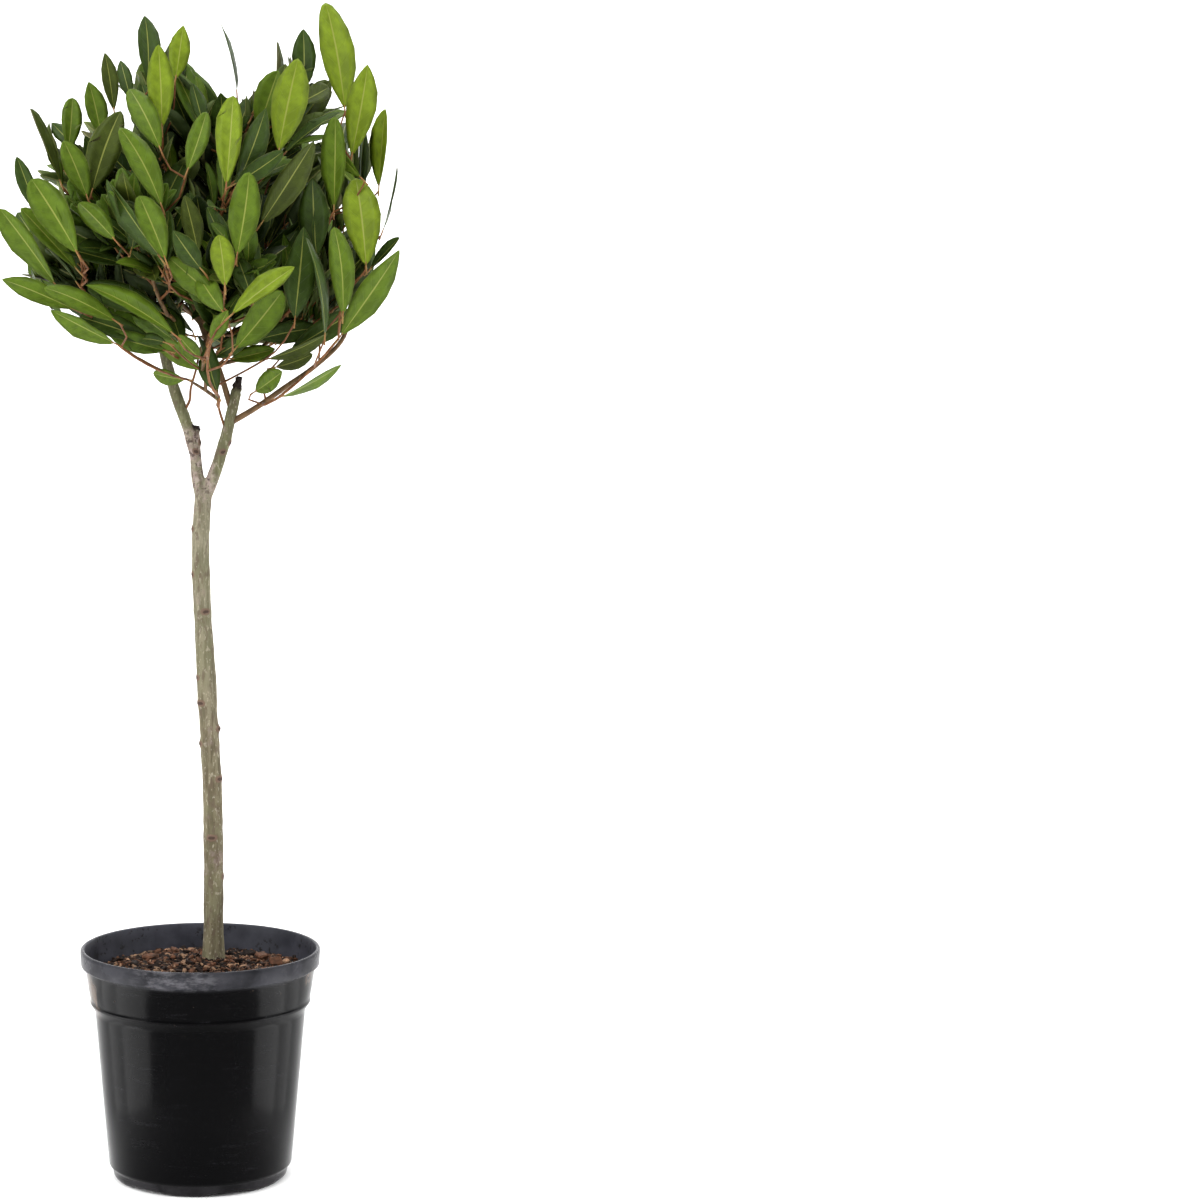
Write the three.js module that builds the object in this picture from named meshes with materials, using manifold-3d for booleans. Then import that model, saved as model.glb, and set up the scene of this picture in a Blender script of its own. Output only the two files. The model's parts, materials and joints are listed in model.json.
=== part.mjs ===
// Bay tree trained as a standard, in a plastic nursery pot.
// Millimetres, +Z up, origin at the centre of the pot's flat underside, front towards -Y.
import * as THREE from 'three';
import Module from 'manifold-3d';
import { mergeVertices } from 'three/addons/utils/BufferGeometryUtils.js';

const wasm = await Module();
wasm.setup();

// ---- Driving dimensions ----

const gap = 0.3;

const pot = {
  height: 185.5,
  rimRadius: 95,
  rimBand: 13.5,
  rimOverhang: 3.2,
  collarTopRadius: 91,
  collarFootRadius: 86.7,
  collarFoot: 143,
  stepRadius: 83.3,
  stepFoot: 136,
  wallFootRadius: 72.6,
  wallFoot: 12,
  footRadius: 69.6,
  footTop: 8,
  contactRadius: 64,
  wall: 1.7,
  floor: 5,
  segments: 32,
};

const drain = {
  count: 6,
  firstAngle: -70,
  halfWidth: 22,
  height: 3,
  innerReach: 38,
  holeRadius: 5,
  holeCircle: 54,
};

const compost = {
  floor: 7,
  edgeHeight: 165,
  crownHeight: 174,
  flatRadius: 14,
  roughness: 1.8,
};

const trunk = {
  foot: [10.2, 6, compost.crownHeight + gap],
  kneeLow: [9.6, 5, 300],
  kneeHigh: [3.4, 2, 420],
  waist: [0, 0.5, 500],
  fork: [2.6, 0, 549],
  footRadius: 9.3,
  flareHeight: 34,
  lowRadius: 8.2,
  topRadius: 6.3,
  forkSwell: 0.7,
  nodeSwell: 0.8,
  nodeHeights: [0.14, 0.335, 0.49, 0.75],
  nodeWidth: 0.012,
  rings: 26,
  sides: 9,
};

// Every limb runs through a few stations from its start to its end inside a mass, or to a cut stub.
const limbs = {
  leader_left: {
    stations: [[-0.8, 0, 549.6], [-3, 0.4, 568], [-4.4, 0.8, 586], [-2.6, 1, 601]],
    startRadius: 5.2,
    endRadius: 4.2,
    rings: 8,
  },
  bough_left: {
    stations: [[-5.2, 0.8, 584], [-12.4, 1, 607], [-21, 3, 631], [-28, 5, 656], [-40, 8, 708]],
    startRadius: 4.4,
    endRadius: 3.6,
    rings: 12,
  },
  bough_right: {
    stations: [[3, -0.4, 545], [14.6, -2, 571], [22, -4, 602], [26.6, -5, 622], [30, -6, 640]],
    startRadius: 5.2,
    endRadius: 4.2,
    rings: 12,
  },
  branch_right: {
    stations: [[23, -4.4, 604], [44, -8, 617], [64, -9, 627], [84, -9, 643], [112, -6, 694]],
    startRadius: 2.3,
    endRadius: 1.5,
    rings: 12,
  },
  branch_centre: {
    stations: [[24.4, -4.8, 617], [14.4, -6, 645], [4, -4, 670], [-10, 0, 708]],
    startRadius: 2.5,
    endRadius: 1.9,
    rings: 9,
  },
};
const limbSides = 8;

// Foliage: an uneven core for each mass, its half sizes, and the leaf tips that set the crown's outline.
const masses = {
  mass_heart: {
    centre: [-8, 8, 736], size: [56, 50, 50], tips: [], sprays: 4, seed: 11,
  },
  mass_left_low: {
    centre: [-92, -12, 722], size: [40, 48, 36], sprays: 4, seed: 12,
    tips: [[-153, -14, 768], [-150, -30, 713], [-112, -46, 682]],
  },
  mass_left_high: {
    centre: [-94, 2, 804], size: [36, 46, 44], sprays: 4, seed: 13,
    tips: [[-132, -16, 846], [-72, 8, 887], [-142, 24, 806]],
  },
  mass_top_left: {
    centre: [-30, 4, 838], size: [27, 50, 46], sprays: 3, seed: 14,
    tips: [[-39, 4, 918], [-14, 12, 905], [-8, -18, 872]],
  },
  mass_top_centre: {
    centre: [30, 6, 812], size: [30, 50, 40], sprays: 4, seed: 15,
    tips: [[24, 16, 912], [36, -20, 868]],
  },
  mass_top_right: {
    centre: [70, 12, 846], size: [22, 36, 32], sprays: 3, seed: 16,
    tips: [[81, 14, 908], [62, -18, 884]],
  },
  mass_peak_right: {
    centre: [111, 0, 842], size: [18, 32, 38], sprays: 3, seed: 17,
    tips: [[104, 0, 929], [127, -10, 879], [118, 26, 892]],
  },
  mass_right: {
    centre: [124, 0, 776], size: [24, 44, 36], sprays: 4, seed: 18,
    tips: [[159, -8, 800], [146, -22, 838], [152, 26, 776]],
  },
  mass_right_low: {
    centre: [96, -10, 712], size: [36, 46, 36], sprays: 4, seed: 19,
    tips: [[152, -10, 738], [128, -34, 686], [70, -36, 664]],
  },
  mass_front: {
    centre: [22, -78, 734], size: [44, 38, 44], sprays: 5, seed: 20,
    tips: [[58, -132, 752], [16, -140, 778], [16, -96, 664]],
  },
  mass_front_left: {
    centre: [-44, -78, 756], size: [34, 38, 44], sprays: 4, seed: 21,
    tips: [[-66, -134, 790], [-36, -132, 728]],
  },
  mass_front_high: {
    centre: [22, -66, 812], size: [36, 30, 30], sprays: 3, seed: 22,
    tips: [[14, -92, 872], [48, -104, 842]],
  },
  mass_back_left: {
    centre: [-56, 84, 756], size: [46, 44, 52], sprays: 6, seed: 23,
    tips: [[-104, 118, 792], [-60, 148, 744], [-44, 100, 850]],
  },
  mass_back_right: {
    centre: [58, 85, 758], size: [46, 45, 54], sprays: 6, seed: 24,
    tips: [[108, 122, 790], [54, 150, 748], [52, 98, 862]],
  },
};

const foliage = {
  crownAxis: [0, 6, 728],
  coreRoughness: 0.16,
  leafWidth: 30,
  leafThickness: 12,
  leafLength: 70,
  leafShown: 0.5,
  lowestSpray: -0.5,
  lift: 0.6,
  // Sprays end inside these limits, so that they alone never set the overall size.
  limit: { left: -152, right: 157, front: -152, back: 158, top: 926, foot: 652 },
};

const colours = {
  pot: 0x17181b,
  compost: 0x53361f,
  bark: 0x7f7b5d,
  branch: 0x7a4f36,
  leaf: 0x4d7a2b,
};

// ---- Helpers ----

function seededRandom(seed) {
  let state = seed * 2654435761 >>> 0;
  return () => {
    state = (state + 0x6d2b79f5) >>> 0;
    let value = Math.imul(state ^ (state >>> 15), 1 | state);
    value = (value + Math.imul(value ^ (value >>> 7), 61 | value)) ^ value;
    return ((value ^ (value >>> 14)) >>> 0) / 4294967296;
  };
}

function toSolid(geometry) {
  const plain = geometry.clone();
  plain.deleteAttribute('normal');
  plain.deleteAttribute('uv');
  const merged = mergeVertices(plain, 1e-4);
  const corners = Array.from(merged.index.array);
  const triangles = [];
  for (let i = 0; i < corners.length; i += 3) {
    const [a, b, c] = corners.slice(i, i + 3);
    if (a !== b && b !== c && c !== a) triangles.push(a, b, c);
  }
  return new wasm.Manifold(new wasm.Mesh({
    numProp: 3,
    vertProperties: new Float32Array(merged.attributes.position.array),
    triVerts: new Uint32Array(triangles),
  }));
}

function toGeometry(solid) {
  const mesh = solid.getMesh();
  const geometry = new THREE.BufferGeometry();
  geometry.setAttribute('position', new THREE.BufferAttribute(mesh.vertProperties, 3));
  geometry.setIndex(new THREE.BufferAttribute(mesh.triVerts, 1));
  geometry.computeVertexNormals();
  return geometry;
}

// A lathed form about +Z. The profile lists [radius, height] from the axis underneath to the axis on top.
function turned(profile, segments) {
  const points = profile.map(([radius, height]) => new THREE.Vector2(radius, height));
  return new THREE.LatheGeometry(points, segments).rotateX(Math.PI / 2);
}

function eachVertex(geometry, change) {
  const position = geometry.attributes.position;
  const point = new THREE.Vector3();
  for (let i = 0; i < position.count; i += 1) {
    point.fromBufferAttribute(position, i);
    change(point);
    position.setXYZ(i, point.x, point.y, point.z);
  }
  return geometry;
}

// ---- Pot ----

function potProfile() {
  const p = pot;
  const rimFoot = p.height - p.rimBand;
  const outside = [
    [0, 0],
    [p.contactRadius, 0],
    [p.contactRadius + 3, 1.2],
    [p.footRadius - 0.6, 4],
    [p.footRadius, p.footTop],
    [p.wallFootRadius, p.wallFoot],
    [p.stepRadius, p.stepFoot],
    [p.collarFootRadius, p.collarFoot],
    [p.collarTopRadius, rimFoot - 0.6],
    [p.rimRadius - 1, rimFoot],
    [p.rimRadius, p.height - 1.2],
    [p.rimRadius - 0.6, p.height],
  ];
  const inside = [
    [p.rimRadius - p.rimOverhang + 0.4, p.height],
    [p.rimRadius - p.rimOverhang, p.height - 1],
    [p.collarTopRadius - p.wall, rimFoot - 1],
    [p.collarFootRadius - p.wall, p.collarFoot + 1],
    [p.stepRadius - p.wall, p.stepFoot + 1],
    [p.wallFootRadius - p.wall, p.wallFoot + 1],
    [p.footRadius - p.wall, p.footTop + 1],
    [p.contactRadius, p.floor],
    [0, p.floor],
  ];
  return [...outside, ...inside];
}

// A shallow arch lying along a radius of the base, from the inner reach out to a given radius.
function drainArch(angle, halfWidth, height, from, to) {
  const arch = new THREE.CylinderGeometry(1, 1, to - from, 10);
  arch.rotateZ(-Math.PI / 2);
  arch.scale(1, halfWidth, height);
  arch.translate((from + to) / 2, 0, 0);
  arch.rotateZ(angle);
  return toSolid(arch);
}

function makePot() {
  let solid = toSolid(turned(potProfile(), pot.segments));
  const angles = [];
  for (let i = 0; i < drain.count; i += 1) {
    angles.push(THREE.MathUtils.degToRad(drain.firstAngle + i * 360 / drain.count));
  }
  for (const angle of angles) {
    const channel = drainArch(
      angle, drain.halfWidth, drain.height, drain.innerReach, pot.rimRadius,
    );
    const hole = new THREE.CylinderGeometry(drain.holeRadius, drain.holeRadius, 20, 8);
    hole.rotateX(Math.PI / 2);
    hole.translate(drain.holeCircle * Math.cos(angle), drain.holeCircle * Math.sin(angle), 0);
    solid = solid.subtract(channel).subtract(toSolid(hole));
  }
  return solid;
}

// ---- Compost ----

function makeCompost() {
  const c = compost;
  const inset = pot.wall + gap + 0.5;
  const slope = (pot.collarTopRadius - pot.collarFootRadius) / (pot.height - pot.rimBand - pot.collarFoot);
  const edgeRadius = pot.collarFootRadius + slope * (c.edgeHeight - pot.collarFoot) - inset;
  const profile = [
    [0, c.floor],
    [pot.contactRadius + 1, c.floor],
    [pot.wallFootRadius - inset - 2.5, pot.wallFoot],
    [pot.wallFootRadius - inset, pot.wallFoot + 4],
    [pot.stepRadius - inset, pot.stepFoot],
    [pot.collarFootRadius - inset - 0.4, pot.collarFoot + 1.4],
    [edgeRadius, c.edgeHeight],
  ];
  const topRings = 5;
  for (let i = 1; i <= topRings; i += 1) {
    const share = i / (topRings + 1);
    const radius = edgeRadius + (c.flatRadius - edgeRadius) * share;
    profile.push([radius, c.edgeHeight + (c.crownHeight - c.edgeHeight) * Math.sqrt(share) - 1.5]);
  }
  profile.push([c.flatRadius, c.crownHeight], [0, c.crownHeight]);
  const geometry = turned(profile, 24);
  eachVertex(geometry, (point) => {
    const radius = Math.hypot(point.x, point.y);
    if (point.z < c.edgeHeight + 0.5 || radius < c.flatRadius + 1) return;
    const ripple = Math.sin(point.x * 0.31 + 1.2) * Math.cos(point.y * 0.27);
    const wave = ripple + Math.sin(point.x * 0.12 - point.y * 0.19);
    point.z += c.roughness * wave / 2;
  });
  return toSolid(geometry);
}

// ---- Limbs ----

// A turned, tapering form bent along a smooth curve through the stations.
function limb(stations, radiusAt, rings, sides, grow = 0) {
  const curve = new THREE.CatmullRomCurve3(stations.map((station) => new THREE.Vector3(...station)));
  const profile = [[0, 0]];
  for (let i = 0; i <= rings; i += 1) {
    profile.push([radiusAt(i / rings) + grow, i]);
  }
  profile.push([0, rings]);
  const frames = curve.computeFrenetFrames(rings, false);
  const geometry = turned(profile, sides);
  eachVertex(geometry, (point) => {
    const ring = Math.round(point.z);
    const centre = curve.getPointAt(ring / rings);
    if (ring === 0) centre.addScaledVector(frames.tangents[ring], -grow);
    if (ring === rings) centre.addScaledVector(frames.tangents[ring], grow);
    const { x, y } = point;
    point.copy(centre);
    point.addScaledVector(frames.normals[ring], x);
    point.addScaledVector(frames.binormals[ring], y);
  });
  return toSolid(geometry);
}

function trunkRadius(share) {
  const t = trunk;
  const length = t.fork[2] - t.foot[2];
  const taper = t.lowRadius + (t.topRadius - t.lowRadius) * share;
  const flare = (t.footRadius - t.lowRadius) * Math.exp(-3 * share * length / t.flareHeight);
  const swell = t.forkSwell * Math.exp(-((1 - share) * length) / 12);
  let nodes = 0;
  for (const height of t.nodeHeights) {
    nodes += t.nodeSwell * Math.exp(-(((share - height) / t.nodeWidth) ** 2));
  }
  return taper + flare + swell + nodes;
}

function makeTrunk(grow = 0) {
  const stations = [trunk.foot, trunk.kneeLow, trunk.kneeHigh, trunk.waist, trunk.fork];
  return limb(stations, trunkRadius, trunk.rings, trunk.sides, grow);
}

function makeLimb(name, grow = 0) {
  const { stations, startRadius, endRadius, rings } = limbs[name];
  const radiusAt = (share) => startRadius + (endRadius - startRadius) * share;
  return limb(stations, radiusAt, rings, limbSides, grow);
}

// ---- Foliage ----

function massCore(spec, grow = 0) {
  const random = seededRandom(spec.seed);
  const phases = [random(), random(), random()].map((value) => value * Math.PI * 2);
  const geometry = new THREE.SphereGeometry(1, 10, 7);
  geometry.rotateX(Math.PI / 2);
  eachVertex(geometry, (point) => {
    const uneven = Math.sin(point.x * 3.1 + phases[0]) * Math.cos(point.y * 2.7 + phases[1])
      + Math.sin(point.z * 3.7 + phases[2]) * 0.6;
    point.multiplyScalar(1 + foliage.coreRoughness * uneven);
    const [a, b, c] = spec.size;
    const length = point.length();
    const away = point.clone().divideScalar(length);
    point.set(point.x * a, point.y * b, point.z * c).addScaledVector(away, grow);
    point.add(new THREE.Vector3(...spec.centre));
  });
  return toSolid(geometry);
}

// One spray as a thick pointed leaf with its tip at the given place.
function leafBlade(tip, direction, length, roll, grow = 0) {
  const outline = [[0, 0], [0.85, 0.4], [0.95, 0.68], [0.5, 0.9], [0, 1]];
  const geometry = turned(outline, 4);
  geometry.scale(foliage.leafWidth / 2 + grow, foliage.leafThickness / 2 + grow, length + grow);
  geometry.translate(0, 0, -length);
  geometry.rotateZ(roll);
  const turn = new THREE.Quaternion().setFromUnitVectors(new THREE.Vector3(0, 0, 1), direction);
  geometry.applyQuaternion(turn);
  geometry.translate(tip.x, tip.y, tip.z);
  return toSolid(geometry);
}

// Sprays for one mass: first those that reach the named tips, then an even seeded spread.
function spraysOf(spec) {
  const random = seededRandom(spec.seed + 100);
  const centre = new THREE.Vector3(...spec.centre);
  const outward = centre.clone().sub(new THREE.Vector3(...foliage.crownAxis)).normalize();
  const sprays = spec.tips.map((place) => {
    const tip = new THREE.Vector3(...place);
    const direction = tip.clone().sub(centre).normalize();
    const reach = tip.distanceTo(centre);
    return { tip, direction, length: Math.max(foliage.leafLength, reach * 0.8), roll: random() * 3 };
  });
  const golden = Math.PI * (3 - Math.sqrt(5));
  for (let i = 0; i < spec.sprays * 2; i += 1) {
    const height = 1 - 2 * (i + 0.5) / (spec.sprays * 2);
    const around = i * golden + random();
    const flat = Math.sqrt(1 - height * height);
    const direction = new THREE.Vector3(flat * Math.cos(around), flat * Math.sin(around), height);
    if (direction.dot(outward) < -0.2 || direction.z < foliage.lowestSpray) continue;
    direction.z += foliage.lift;
    direction.normalize();
    const [a, b, c] = spec.size;
    const surface = 1 / Math.hypot(direction.x / a, direction.y / b, direction.z / c);
    const length = foliage.leafLength * (0.8 + 0.3 * random());
    const reach = surface + length * foliage.leafShown * (0.7 + 0.4 * random());
    const tip = centre.clone().addScaledVector(direction, reach);
    sprays.push({ tip, direction, length, roll: random() * 3 });
  }
  return sprays;
}

function insideCrown(tip) {
  const { limit } = foliage;
  return tip.x > limit.left && tip.x < limit.right && tip.y > limit.front && tip.y < limit.back
    && tip.z < limit.top && tip.z > limit.foot;
}

// ---- Assembly ----
// Each later solid is cut clear of the earlier ones by the gap, so that no two nodes touch or overlap.

const solids = {};
solids.pot = makePot();
solids.compost = makeCompost();
solids.trunk = makeTrunk();

const massNames = Object.keys(masses);
let taken = null;
for (const name of massNames) {
  const core = massCore(masses[name]);
  solids[name] = taken ? core.subtract(taken) : core;
  const grown = massCore(masses[name], gap * 1.5);
  taken = taken ? taken.add(grown) : grown;
}

const wood = makeTrunk(gap);
let grownWood = wood;
for (const name of Object.keys(limbs)) {
  solids[name] = makeLimb(name).subtract(grownWood).subtract(taken);
  grownWood = grownWood.add(makeLimb(name, gap));
}

for (const name of massNames) {
  let others = grownWood;
  for (const other of massNames) {
    if (other !== name) others = others.add(solids[other]);
  }
  for (const { tip, direction, length, roll } of spraysOf(masses[name])) {
    const named = masses[name].tips.some((place) => tip.distanceTo(new THREE.Vector3(...place)) < 1e-6);
    if (!named && !insideCrown(tip)) continue;
    const clearance = leafBlade(tip, direction, length, roll, gap * 2);
    if (!clearance.intersect(others).isEmpty()) continue;
    solids[name] = solids[name].add(leafBlade(tip, direction, length, roll));
  }
}

const finishes = {
  pot: { color: colours.pot, roughness: 0.38, metalness: 0 },
  compost: { color: colours.compost, roughness: 0.95, metalness: 0 },
  bark: { color: colours.bark, roughness: 0.85, metalness: 0 },
  branch: { color: colours.branch, roughness: 0.75, metalness: 0 },
  leaf: { color: colours.leaf, roughness: 0.5, metalness: 0 },
};

function finishOf(name) {
  if (name === 'pot' || name === 'compost') return finishes[name];
  if (name.startsWith('mass_')) return finishes.leaf;
  if (name.startsWith('branch_')) return finishes.branch;
  return finishes.bark;
}

const group = new THREE.Group();
for (const [name, solid] of Object.entries(solids)) {
  const mesh = new THREE.Mesh(toGeometry(solid), new THREE.MeshStandardMaterial(finishOf(name)));
  mesh.name = name;
  group.add(mesh);
}

export default group;
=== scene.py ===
import json
import math
import random

import bmesh
import bpy
from bpy.props import FloatProperty, FloatVectorProperty, IntProperty, PointerProperty
from bpy.types import Operator, Panel, PropertyGroup
from mathutils import Matrix, Quaternion, Vector, noise

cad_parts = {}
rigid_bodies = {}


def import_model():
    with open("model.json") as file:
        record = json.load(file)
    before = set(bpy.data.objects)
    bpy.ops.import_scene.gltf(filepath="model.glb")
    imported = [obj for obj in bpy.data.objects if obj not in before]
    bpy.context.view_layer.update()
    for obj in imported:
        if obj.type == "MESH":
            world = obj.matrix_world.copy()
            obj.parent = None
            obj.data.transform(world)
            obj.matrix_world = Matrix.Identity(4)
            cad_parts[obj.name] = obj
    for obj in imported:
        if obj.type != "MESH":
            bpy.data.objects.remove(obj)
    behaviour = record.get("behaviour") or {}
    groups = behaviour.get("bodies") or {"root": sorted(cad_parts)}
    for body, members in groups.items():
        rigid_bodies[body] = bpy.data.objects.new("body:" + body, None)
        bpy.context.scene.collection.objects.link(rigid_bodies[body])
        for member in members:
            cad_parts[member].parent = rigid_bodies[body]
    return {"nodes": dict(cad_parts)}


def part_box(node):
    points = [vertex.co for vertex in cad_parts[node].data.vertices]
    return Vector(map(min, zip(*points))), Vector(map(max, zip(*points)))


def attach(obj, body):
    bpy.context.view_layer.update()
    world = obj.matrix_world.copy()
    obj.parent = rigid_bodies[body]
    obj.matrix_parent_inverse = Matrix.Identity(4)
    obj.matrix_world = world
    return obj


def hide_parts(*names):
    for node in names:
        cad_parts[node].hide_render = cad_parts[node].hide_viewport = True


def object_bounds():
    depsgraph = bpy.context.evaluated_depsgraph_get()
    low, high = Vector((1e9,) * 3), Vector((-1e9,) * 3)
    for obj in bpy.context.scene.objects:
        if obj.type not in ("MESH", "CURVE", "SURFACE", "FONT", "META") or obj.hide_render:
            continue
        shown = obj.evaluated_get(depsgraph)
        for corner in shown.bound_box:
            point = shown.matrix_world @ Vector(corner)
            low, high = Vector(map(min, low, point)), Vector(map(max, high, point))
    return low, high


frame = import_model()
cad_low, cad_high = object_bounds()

bl_info = {
    "name": "Bay Standard",
    "version": (1, 0, 0),
    "blender": (4, 5, 0),
    "location": "View3D > Sidebar > Bay",
    "description": "Builds a bay grown as a standard in its nursery pot on the loaded frame",
    "category": "Add Mesh",
}

ROOT = "root"
MM = 0.001
UP = Vector((0, 0, 1))
FRONT = Vector((0, -1, 0))
GOLDEN = math.pi * (3 - math.sqrt(5))
MASSES = [node for node in frame["nodes"] if node.startswith("mass_")]

_, SOIL_HIGH = (Vector(corner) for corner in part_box("compost"))
CROWN_HEART = Vector((0, 6, 715)) * MM
CROWN_CORE = Vector((0, 12, 752)) * MM
CROWN_MIDDLE = (0, 745)
EDGE_MARGIN = 5 * MM
VIEW_DISTANCE, VIEW_HEIGHT = 3.0, 0.841

# Stations and radii, foot to end, in millimetres, of limbs that follow the frame's and of three first twigs.
LIMB_SHAPES = {
    "trunk": ([(10.2, 6, 171), (9.6, 5, 300), (3.4, 2, 420), (0, 0.5, 500), (2.2, 0, 552)], 8.2, 6.5),
    "leader_left": (
        [(1.2, 0, 544), (-1.6, 0.2, 556), (-3.4, 0.5, 572), (-4.4, 0.8, 587), (-2.6, 1, 600.6)],
        5.3, 4.2,
    ),
    "bough_left": (
        [(-4.4, 0.8, 580), (-12.2, 1, 606), (-21, 3, 631), (-28, 5, 656), (-40, 8, 708)],
        4.9, 3.7,
    ),
    "bough_right": (
        [(2.2, -0.2, 543), (9.5, -1.2, 560), (17, -3, 583), (22, -4, 602), (30, -6, 639.6)],
        5.4, 4.2,
    ),
    "branch_right": (
        [(22, -4.4, 603), (44, -8, 616.5), (64, -9, 631), (88, -9, 648), (109, -8, 668), (117, -8, 690)],
        2.5, 1.6,
    ),
    "branch_centre": ([(23.4, -4.8, 616), (14.4, -6, 645), (4, -4, 670), (-10, 0, 708)], 2.6, 2.0),
    "twig_left": (
        [(-26, 3, 642), (-34.3, -3, 646), (-44.6, -8, 652), (-55, -14, 659), (-76, -22, 680)],
        1.2, 0.9,
    ),
    "twig_inner": (
        [(-13, 1, 612), (-8.5, -3, 621), (-7.5, -7, 631), (-3.2, -12, 647), (-1.5, -15, 658)],
        1.2, 0.9,
    ),
    "twig_centre": ([(18, -4, 602), (14, -8, 616), (12.4, -11, 630), (8, -15, 650)], 1.1, 0.9),
}
# Limbs and first twigs that carry the crown, and the height in millimetres from which they do.
BEARERS = {
    "bough_left": 643, "branch_right": 618, "branch_centre": 646, "twig_left": 648, "twig_inner": 628,
    "twig_centre": 618,
}

# Each leading leaf: its tint, foot and tip in millimetres, and how wide it is seen from the front.
LEADERS = [
    ("young", (111, -10, 848), (103, -10, 928), 25),
    ("young", (116, -25, 812), (128, -25, 878), 24),
    ("young", (138, -5, 788), (142, -5, 846), 16),
    ("young", (126, -60, 729), (122, -60, 794), 29),
    ("dark", (141, 0, 753), (159, 0, 802), 5),
    ("green", (107, -55, 675), (150, -55, 737), 23),
    ("dark", (131, -20, 725), (152, -20, 749), 9),
    ("green", (108, -70, 692), (110, -70, 755), 21),
    ("dark", (94, -80, 676), (94, -80, 749), 12),
    ("dark", (72, -50, 687), (78, -50, 754), 25),
    ("dark", (89, -40, 734), (82, -40, 793), 23),
    ("green", (102, -40, 772), (103, -40, 838), 19),
    ("green", (123, -45, 795), (98, -45, 821), 9),
    ("young", (59, -60, 815), (71, -60, 884), 27),
    ("dark", (80, 10, 862), (81, 10, 908), 17),
    ("green", (44, -20, 830), (58, -20, 874), 21),
    ("bronze", (76, -5, 852), (101, -5, 864), 15),
    ("dark", (64, -30, 813), (99, -30, 850), 10),
    ("dark", (26, -90, 788), (53, -90, 842), 17),
    ("young", (19, -110, 790), (26, -110, 854), 20),
    ("dark", (28, 5, 859), (25, 5, 914), 5),
    ("bronze", (46, -70, 761), (85, -70, 820), 23),
    ("dark", (24, -100, 790), (62, -100, 812), 14),
    ("green", (27, -120, 738), (39, -120, 796), 22),
    ("young", (18, -140, 716), (16, -140, 753), 19),
    ("young", (23, -140, 695), (66, -140, 734), 17),
    ("green", (17, -130, 696), (-4, -130, 721), 22),
    ("green", (8, -125, 675), (20, -125, 696), 12),
    ("green", (26, -110, 668), (62, -110, 708), 23),
    ("green", (-20, -120, 679), (-78, -120, 723), 20),
    ("dark", (-30, -120, 736), (-70, -120, 790), 13),
    ("green", (-26, -130, 735), (-42, -130, 780), 22),
    ("green", (-29, -110, 774), (-49, -110, 832), 22),
    ("green", (-30, -90, 816), (-49, -90, 862), 20),
    ("young", (-29, -80, 832), (-29, -80, 891), 20),
    ("young", (-19, -40, 869), (-12, -40, 907), 15),
    ("dark", (-40, -10, 866), (-39, -10, 918), 19),
    ("dark", (-53, -10, 852), (-62, -10, 883), 12),
    ("bronze", (-66, -20, 844), (-71, -20, 886), 13),
    ("green", (-76, -20, 826), (-83, -20, 865), 16),
    ("bronze", (-82, -60, 783), (-67, -60, 842), 23),
    ("green", (-102, 0, 812), (-96, 0, 852), 15),
    ("bronze", (-106, -40, 789), (-128, -40, 843), 12),
    ("green", (-85, -75, 779), (-99, -75, 820), 18),
    ("green", (-92, -100, 738), (-121, -100, 792), 26),
    ("green", (-93, -75, 725), (-132, -75, 769), 16),
    ("green", (-110, -50, 712), (-151, -50, 769), 19),
    ("dark", (-126, -20, 768), (-138, -20, 807), 13),
    ("green", (-96, -60, 694), (-147, -60, 718), 17),
    ("green", (-64, -90, 687), (-110, -90, 717), 17),
    ("green", (-65, -70, 669), (-112, -70, 692), 15),
    ("dark", (-26, -60, 669), (-48, -60, 675), 12),
    ("green", (-12, -30, 639), (-37, -30, 640), 15),
    ("green", (0, -60, 657), (-16, -60, 671), 14),
    ("dark", (13, -50, 630), (0, -50, 664), 17),
    ("green", (42, -30, 630), (61, -30, 644), 17),
    ("green", (62, -30, 626), (110, -30, 644), 7),
    ("bronze", (52, -25, 655), (98, -25, 668), 14),
    ("dark", (45, -20, 670), (90, -20, 682), 16),
    ("bronze", (58, -15, 648), (86, -15, 655), 12),
    ("dark", (10, -30, 656), (34, -30, 672), 15),
    ("dark", (70, -15, 662), (118, -15, 690), 17),
    ("dark", (-36, -42, 668), (-88, -42, 690), 18),
    ("mid", (-26, -46, 662), (-68, -46, 672), 14),
    ("dark", (-28, -36, 690), (-82, -36, 714), 20),
    ("mid", (18, -36, 664), (54, -36, 682), 16),
    ("dark", (-14, -34, 664), (-22, -34, 696), 15),
    ("bronze", (34, -12, 676), (78, -12, 696), 17),
    ("green", (-10, -95, 800), (6, -95, 842), 15),
    ("dark", (1, -120, 727), (-20, -120, 752), 17),
    ("green", (-64, -95, 748), (-89, -95, 776), 17),
    ("bronze", (-2, -100, 740), (-10, -100, 780), 16),
    ("dark", (2, -40, 834), (-5, -40, 864), 15),
    ("dark", (17, -20, 826), (17, -20, 856), 19),
    ("dark", (38, -110, 706), (30, -110, 735), 18),
]

# Chinks of daylight, seen from the front: centre x, centre z and half sizes, in millimetres.
CHINKS = [
    (-60, 836, 8, 30),
    (28, 893, 33, 34),
    (85, 843, 8, 9),
    (89, 817, 5, 23),
    (120, 806, 4, 10),
    (55, 752, 9, 18),
    (-13, 680, 8, 7),
    (36, 644, 9, 15),
]


# ---- Settings ----

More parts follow.
